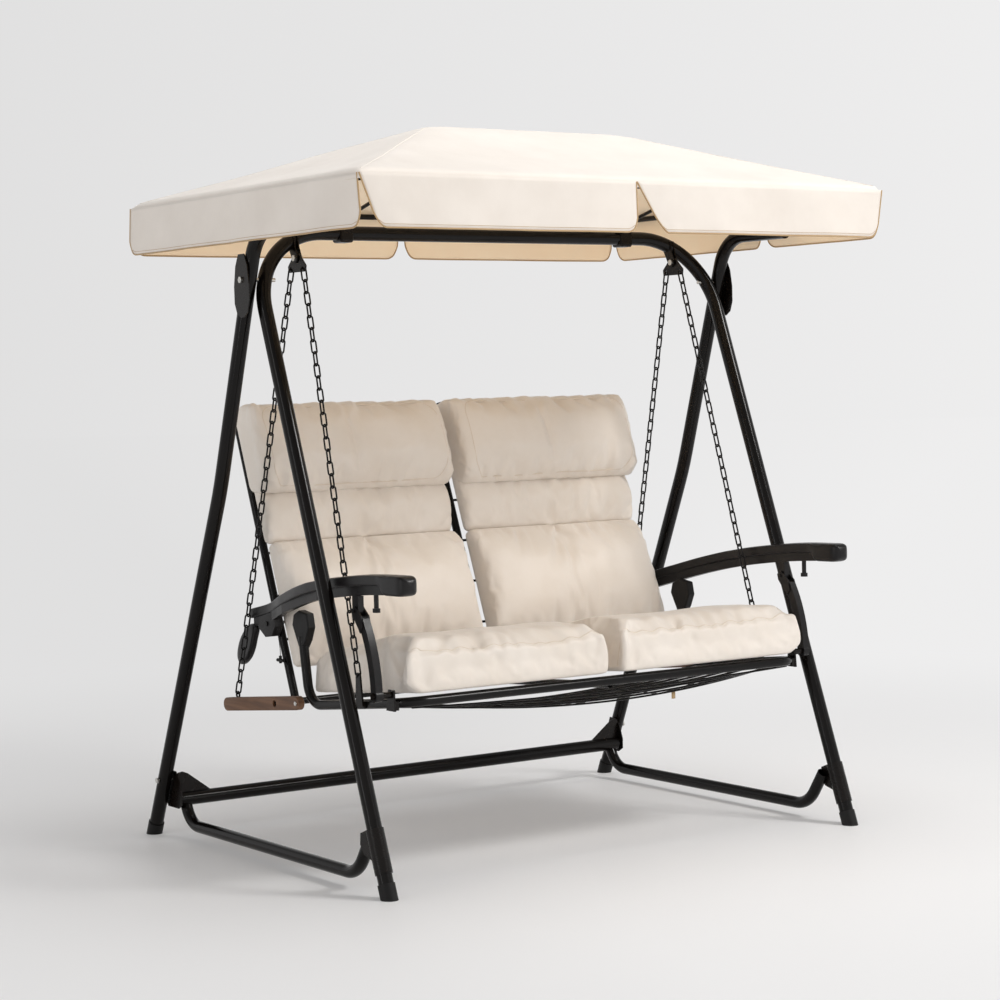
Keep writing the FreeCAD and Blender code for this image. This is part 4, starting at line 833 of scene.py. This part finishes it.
def between(rows, place):
    """Smooth value at a place from (place, value) rows in rising order."""
    if place <= rows[0][0]:
        return rows[0][1]
    for index in range(len(rows) - 1):
        a, b = rows[index], rows[index + 1]
        if place <= b[0]:
            before = rows[max(0, index - 1)]
            after = rows[min(len(rows) - 1, index + 2)]
            slope_a = (b[1] - before[1]) / (b[0] - before[0])
            slope_b = (after[1] - a[1]) / (after[0] - a[0])
            span = b[0] - a[0]
            t = (place - a[0]) / span
            return ((2 * t ** 3 - 3 * t ** 2 + 1) * a[1] + (t ** 3 - 2 * t ** 2 + t) * span * slope_a
                    + (3 * t ** 2 - 2 * t ** 3) * b[1] + (t ** 3 - t ** 2) * span * slope_b)
    return rows[-1][1]


ARM_FRONT = -0.606
ARM_REAR = 0.290
ARM_LENGTH = 0.896
ARM_STEPS = 120
ARM_RING = 28
ARM_TOP = [(-0.606, 0.771), (-0.450, 0.767), (-0.300, 0.754), (-0.175, 0.738), (-0.042, 0.712),
           (0.082, 0.681), (0.190, 0.652), (0.290, 0.632)]
ARM_CENTRE = [(-0.606, 0.684), (-0.170, 0.684), (0.060, 0.653), (0.176, 0.625), (0.290, 0.625)]
ARM_HALF = [(-0.606, 0.0262), (-0.520, 0.0265), (-0.480, 0.0225), (-0.170, 0.0215), (0.060, 0.0130),
            (0.290, 0.0115)]
ARM_DEEP = [(-0.606, 0.0500), (-0.516, 0.0500), (-0.512, 0.0495), (-0.498, 0.0275), (-0.494, 0.0270),
            (-0.480, 0.0270), (0.280, 0.0270), (0.290, 0.0270)]


def armrest(name, sign):
    """Moulded top of an armrest: crowned, round-edged, with a fat rounded nose."""
    stations = [ARM_FRONT + ARM_LENGTH * step / ARM_STEPS for step in range(ARM_STEPS + 1)]
    points, faces = [], []
    for y in stations:
        front = max(0.0, 1.0 - (y - ARM_FRONT) / 0.030)
        rear = max(0.0, 1.0 - (ARM_REAR - y) / 0.012)
        end = math.sqrt(max(0.0, 1.0 - max(front, rear) ** 2.2))
        half = between(ARM_HALF, y) * (0.30 + 0.70 * end)
        deep = between(ARM_DEEP, y)
        top = between(ARM_TOP, y)
        middle = top - deep * 0.5
        tall = deep * 0.5 * (0.35 + 0.65 * end)
        power = 0.42 if y < -0.50 else 0.34
        for step in range(ARM_RING):
            angle = 2.0 * math.pi * step / ARM_RING
            across, up = math.cos(angle), math.sin(angle)
            x = half * math.copysign(abs(across) ** power, across)
            z = tall * math.copysign(abs(up) ** power, up)
            if -0.535 < y < -0.15 and up > 0.0:
                z -= 0.0018 * near(abs(x), half - 0.005, 0.0022)
            points.append((sign * (between(ARM_CENTRE, y) + x), y, middle + z))
    for row in range(len(stations) - 1):
        for step in range(ARM_RING):
            a = row * ARM_RING + step
            b = row * ARM_RING + (step + 1) % ARM_RING
            faces.append((a, b, b + ARM_RING, a + ARM_RING))
    faces.append(tuple(range(ARM_RING)))
    faces.append(tuple(reversed(range(len(points) - ARM_RING, len(points)))))
    made = add_mesh(name, points, faces, [ARM])
    weld(made)
    sub = made.modifiers.new("finer", "SUBSURF")
    sub.levels = sub.render_levels = 1
    return made


LEVER_AT = Vector((0.625, 0.252, 0.599))
LEAF_EDGE = [(0.012, -0.008), (0.034, -0.006), (0.064, -0.020), (0.094, -0.048), (0.112, -0.080),
             (0.116, -0.106), (0.105, -0.120), (0.084, -0.119), (0.056, -0.102), (0.034, -0.074),
             (0.020, -0.044), (0.008, -0.020)]
LEAF_RINGS = [(0.12, 0.0085), (0.45, 0.0088), (0.72, 0.0095), (0.90, 0.0088), (0.99, 0.0050),
              (0.99, -0.0050), (0.90, -0.0088), (0.72, -0.0095), (0.45, -0.0088), (0.12, -0.0085)]


def lever_leaf(name, sign):
    """Paddle of the recline lever: a leaf with a raised rim and a soft middle."""
    count = len(LEAF_EDGE)
    centre = Vector((0.0, sum(p[0] for p in LEAF_EDGE) / count, sum(p[1] for p in LEAF_EDGE) / count))
    fine = []
    for i in range(count):
        a, b, c, d = (LEAF_EDGE[(i + k - 1) % count] for k in range(4))
        for k in range(4):
            t = k / 4.0
            fine.append(tuple(0.5 * (2 * b[j] + (c[j] - a[j]) * t
                                     + (2 * a[j] - 5 * b[j] + 4 * c[j] - d[j]) * t * t
                                     + (3 * b[j] - a[j] - 3 * c[j] + d[j]) * t ** 3) for j in (0, 1)))
    points, faces = [], []
    for share, depth in LEAF_RINGS:
        for y, z in fine:
            points.append((sign * (LEVER_AT.x + depth), LEVER_AT.y + centre.y + (y - centre.y) * share,
                           LEVER_AT.z + centre.z + (z - centre.z) * share))
    size = len(fine)
    for ring in range(len(LEAF_RINGS) - 1):
        for i in range(size):
            j = (i + 1) % size
            faces.append((ring * size + i, ring * size + j, (ring + 1) * size + j, (ring + 1) * size + i))
    faces.append(tuple(reversed(range(size))))
    faces.append(tuple(range(len(points) - size, len(points))))
    made = add_mesh(name, points, faces, [ARM])
    weld(made)
    return made


for sign, hand in ((-1.0, "left"), (1.0, "right")):
    pad = armrest("armrest_moulding_" + hand, sign)
    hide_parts("armrest_pad_" + hand)
    dress((pad,), "armrest_" + hand)
    leaf = lever_leaf("lever_paddle_" + hand, sign)
    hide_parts("recline_lever_" + hand)
    dress((leaf,), "lever_" + hand)


# ------------------------------------------------------------------ rods under the seat front

ROD_STEPS = 24
TIE_COUNT = 10
TIE_RADIUS = 0.0019
TIE_SAG = 0.004


def bowed_rod(name, half, y, z, sag, forward, radius, tilt):
    """Thin rod that bows down under the front of the seat, from side to side."""
    points = []
    for step in range(ROD_STEPS + 1):
        share = -1.0 + 2.0 * step / ROD_STEPS
        bow = 1.0 - share * share
        points.append((half * share, y - forward * bow, z - sag * bow + tilt * share))
    dress((line(name, points, radius, SEAT_STEEL),), "swing")
    return points


# Each rod: half length, y, z, sag, forward bow, radius, tilt.
RODS = [(0.590, -0.452, 0.4385, 0.024, 0.004, 0.0030, 0.0), (0.580, -0.440, 0.4370, 0.036, 0.004, 0.0028, 0.002),
        (0.565, -0.424, 0.4360, 0.044, 0.006, 0.0026, -0.002), (0.600, -0.462, 0.4370, 0.013, 0.002, 0.0026, 0.0)]
rod_paths = [bowed_rod("front_rod_%d" % index, *row) for index, row in enumerate(RODS)]
for index in range(TIE_COUNT):
    start = rod_paths[3 if index % 2 else 0][2 + 2 * index]
    stop = rod_paths[2][min(ROD_STEPS, 4 + 2 * index)]
    if index % 3 == 1:
        start, stop = rod_paths[0][min(ROD_STEPS, 4 + 2 * index)], rod_paths[2][2 + 2 * index]
    middle = [(a + b) / 2.0 for a, b in zip(start, stop)]
    middle[2] -= TIE_SAG
    tie = line("rod_tie_%d" % index, [start, tuple(middle), stop], TIE_RADIUS, SEAT_STEEL)
    dress((tie,), "swing")

tag_at = Vector(rod_paths[2][17])
tag_points = [tag_at + Vector((dx, dy, dz))
              for dx in (-0.006, 0.006) for dy in (-0.0005, 0.0005) for dz in (-0.020, -0.001)]
TAG_FACES = [(0, 1, 3, 2), (4, 6, 7, 5), (0, 4, 5, 1), (2, 3, 7, 6), (0, 2, 6, 4), (1, 5, 7, 3)]
tag = add_mesh("blank_tag", tag_points, TAG_FACES, [HEM])
dress((tag,), "swing")

# ------------------------------------------------------------------ floor and light

FLOOR_GREY = (0.90, 0.895, 0.897)
FLOOR_REACH = 60.0
FLOOR_RINGS = 40
FLOOR_SPOKES = 96
FADE_START = -0.3
FADE_END = 4.4
SKY_GREY = (0.99, 0.985, 0.985)
SKY_LEFT = 0.755
SKY_RIGHT = 0.865
SKY_SPREAD = 0.22
OVERHEAD_FROM = 0.30
OVERHEAD_TO = 0.62
OVERHEAD_LEVEL = 0.36


def sky_level(tree, coords, into):
    """Studio backdrop: a little brighter towards the right of the object, and dimmer overhead."""
    place = add_node(tree, "ShaderNodeTexCoord")
    flat = add_node(tree, "ShaderNodeVectorMath", operation="NORMALIZE")
    tree.links.new(place.outputs[coords], flat.inputs[0])
    across = add_node(tree, "ShaderNodeVectorMath", operation="DOT_PRODUCT")
    across.inputs[1].default_value = (math.cos(AZIMUTH), math.sin(AZIMUTH), 0.0)
    tree.links.new(flat.outputs["Vector"], across.inputs[0])
    level = add_node(tree, "ShaderNodeMapRange", From_Min=-SKY_SPREAD, From_Max=SKY_SPREAD,
                     To_Min=SKY_LEFT, To_Max=SKY_RIGHT)
    tree.links.new(across.outputs["Value"], level.inputs["Value"])
    split = add_node(tree, "ShaderNodeSeparateXYZ")
    tree.links.new(flat.outputs["Vector"], split.inputs[0])
    overhead = add_node(tree, "ShaderNodeMapRange", interpolation_type="SMOOTHSTEP", From_Min=OVERHEAD_FROM,
                        From_Max=OVERHEAD_TO, To_Min=1.0, To_Max=OVERHEAD_LEVEL)
    tree.links.new(split.outputs["Z"], overhead.inputs["Value"])
    both = add_node(tree, "ShaderNodeMath", operation="MULTIPLY")
    tree.links.new(level.outputs["Result"], both.inputs[0])
    tree.links.new(overhead.outputs["Result"], both.inputs[1])
    tree.links.new(both.outputs[0], into)


def make_floor():
    """Round pale floor that passes into the backdrop's own brightness away from the object."""
    points = [(0.0, 0.0, 0.0)]
    for ring in range(1, FLOOR_RINGS + 1):
        radius = FLOOR_REACH * (ring / FLOOR_RINGS) ** 2.2
        for spoke in range(FLOOR_SPOKES):
            angle = 2.0 * math.pi * spoke / FLOOR_SPOKES
            points.append((radius * math.cos(angle), radius * math.sin(angle), 0.0))
    faces = [(0, 1 + spoke, 1 + (spoke + 1) % FLOOR_SPOKES) for spoke in range(FLOOR_SPOKES)]
    for ring in range(FLOOR_RINGS - 1):
        for spoke in range(FLOOR_SPOKES):
            a = 1 + ring * FLOOR_SPOKES + spoke
            b = 1 + ring * FLOOR_SPOKES + (spoke + 1) % FLOOR_SPOKES
            faces.append((a, a + FLOOR_SPOKES, b + FLOOR_SPOKES, b))
    paint = Paint("studio_floor", FLOOR_GREY, 0.55, Specular_IOR_Level=0.2)
    paint.mottle(paint.noise(2.0, 2.0), tuple(c - 0.006 for c in FLOOR_GREY), FLOOR_GREY)
    glow = paint.node("ShaderNodeEmission", Color=(*SKY_GREY, 1.0))
    sky_level(paint.tree, "Object", glow.inputs["Strength"])
    distance = paint.node("ShaderNodeVectorMath", operation="LENGTH")
    paint.link(paint.coords, distance.inputs[0])
    fade = paint.node("ShaderNodeMapRange", interpolation_type="SMOOTHSTEP", From_Min=FADE_START,
                      From_Max=FADE_END)
    paint.link(distance.outputs["Value"], fade.inputs["Value"])
    mix = paint.node("ShaderNodeMixShader")
    paint.link(fade.outputs["Result"], mix.inputs[0])
    paint.link(paint.shader.outputs[0], mix.inputs[1])
    paint.link(glow.outputs[0], mix.inputs[2])
    output = next(n for n in paint.tree.nodes if n.type == "OUTPUT_MATERIAL")
    paint.link(mix.outputs[0], output.inputs["Surface"])
    made = add_mesh("studio_floor", points, faces, [paint.material])


def area_light(name, place, target, size_x, size_y, power, color):
    data = bpy.data.lights.new(name, "AREA")
    data.shape = "RECTANGLE"
    data.size = size_x
    data.size_y = size_y
    data.energy = power
    data.color = color
    made = bpy.data.objects.new(name, data)
    bpy.context.collection.objects.link(made)
    made.location = place
    made.rotation_mode = "QUATERNION"
    made.rotation_quaternion = (Vector(target) - Vector(place)).to_track_quat("-Z", "Y")


bpy.context.scene.view_settings.view_transform = "Standard"
make_floor()
world = bpy.data.worlds.new("studio")
world.use_nodes = True
world.node_tree.nodes["Background"].inputs["Color"].default_value = (*SKY_GREY, 1.0)
sky_level(world.node_tree, "Generated", world.node_tree.nodes["Background"].inputs["Strength"])
bpy.context.scene.world = world
WHITE = (1.0, 1.0, 1.0)
MIDDLE = (0.0, 0.0, 0.9)
area_light("key_right", (2.7, -3.8, 4.6), MIDDLE, 1.3, 1.3, 148.0, (1.0, 0.985, 0.965))
area_light("top_soft", (0.6, -0.4, 5.4), (0.0, 0.0, 0.0), 2.4, 2.4, 84.0, WHITE)
area_light("strip_left", (-4.4, -0.8, 1.6), MIDDLE, 0.22, 3.4, 16.0, WHITE)
area_light("strip_right", (1.6, -4.8, 1.5), MIDDLE, 0.16, 3.2, 8.0, WHITE)
area_light("front_low", (-0.8, -4.6, 0.5), (0.0, 0.0, 1.5), 1.6, 1.6, 1.5, (1.0, 0.985, 0.96))
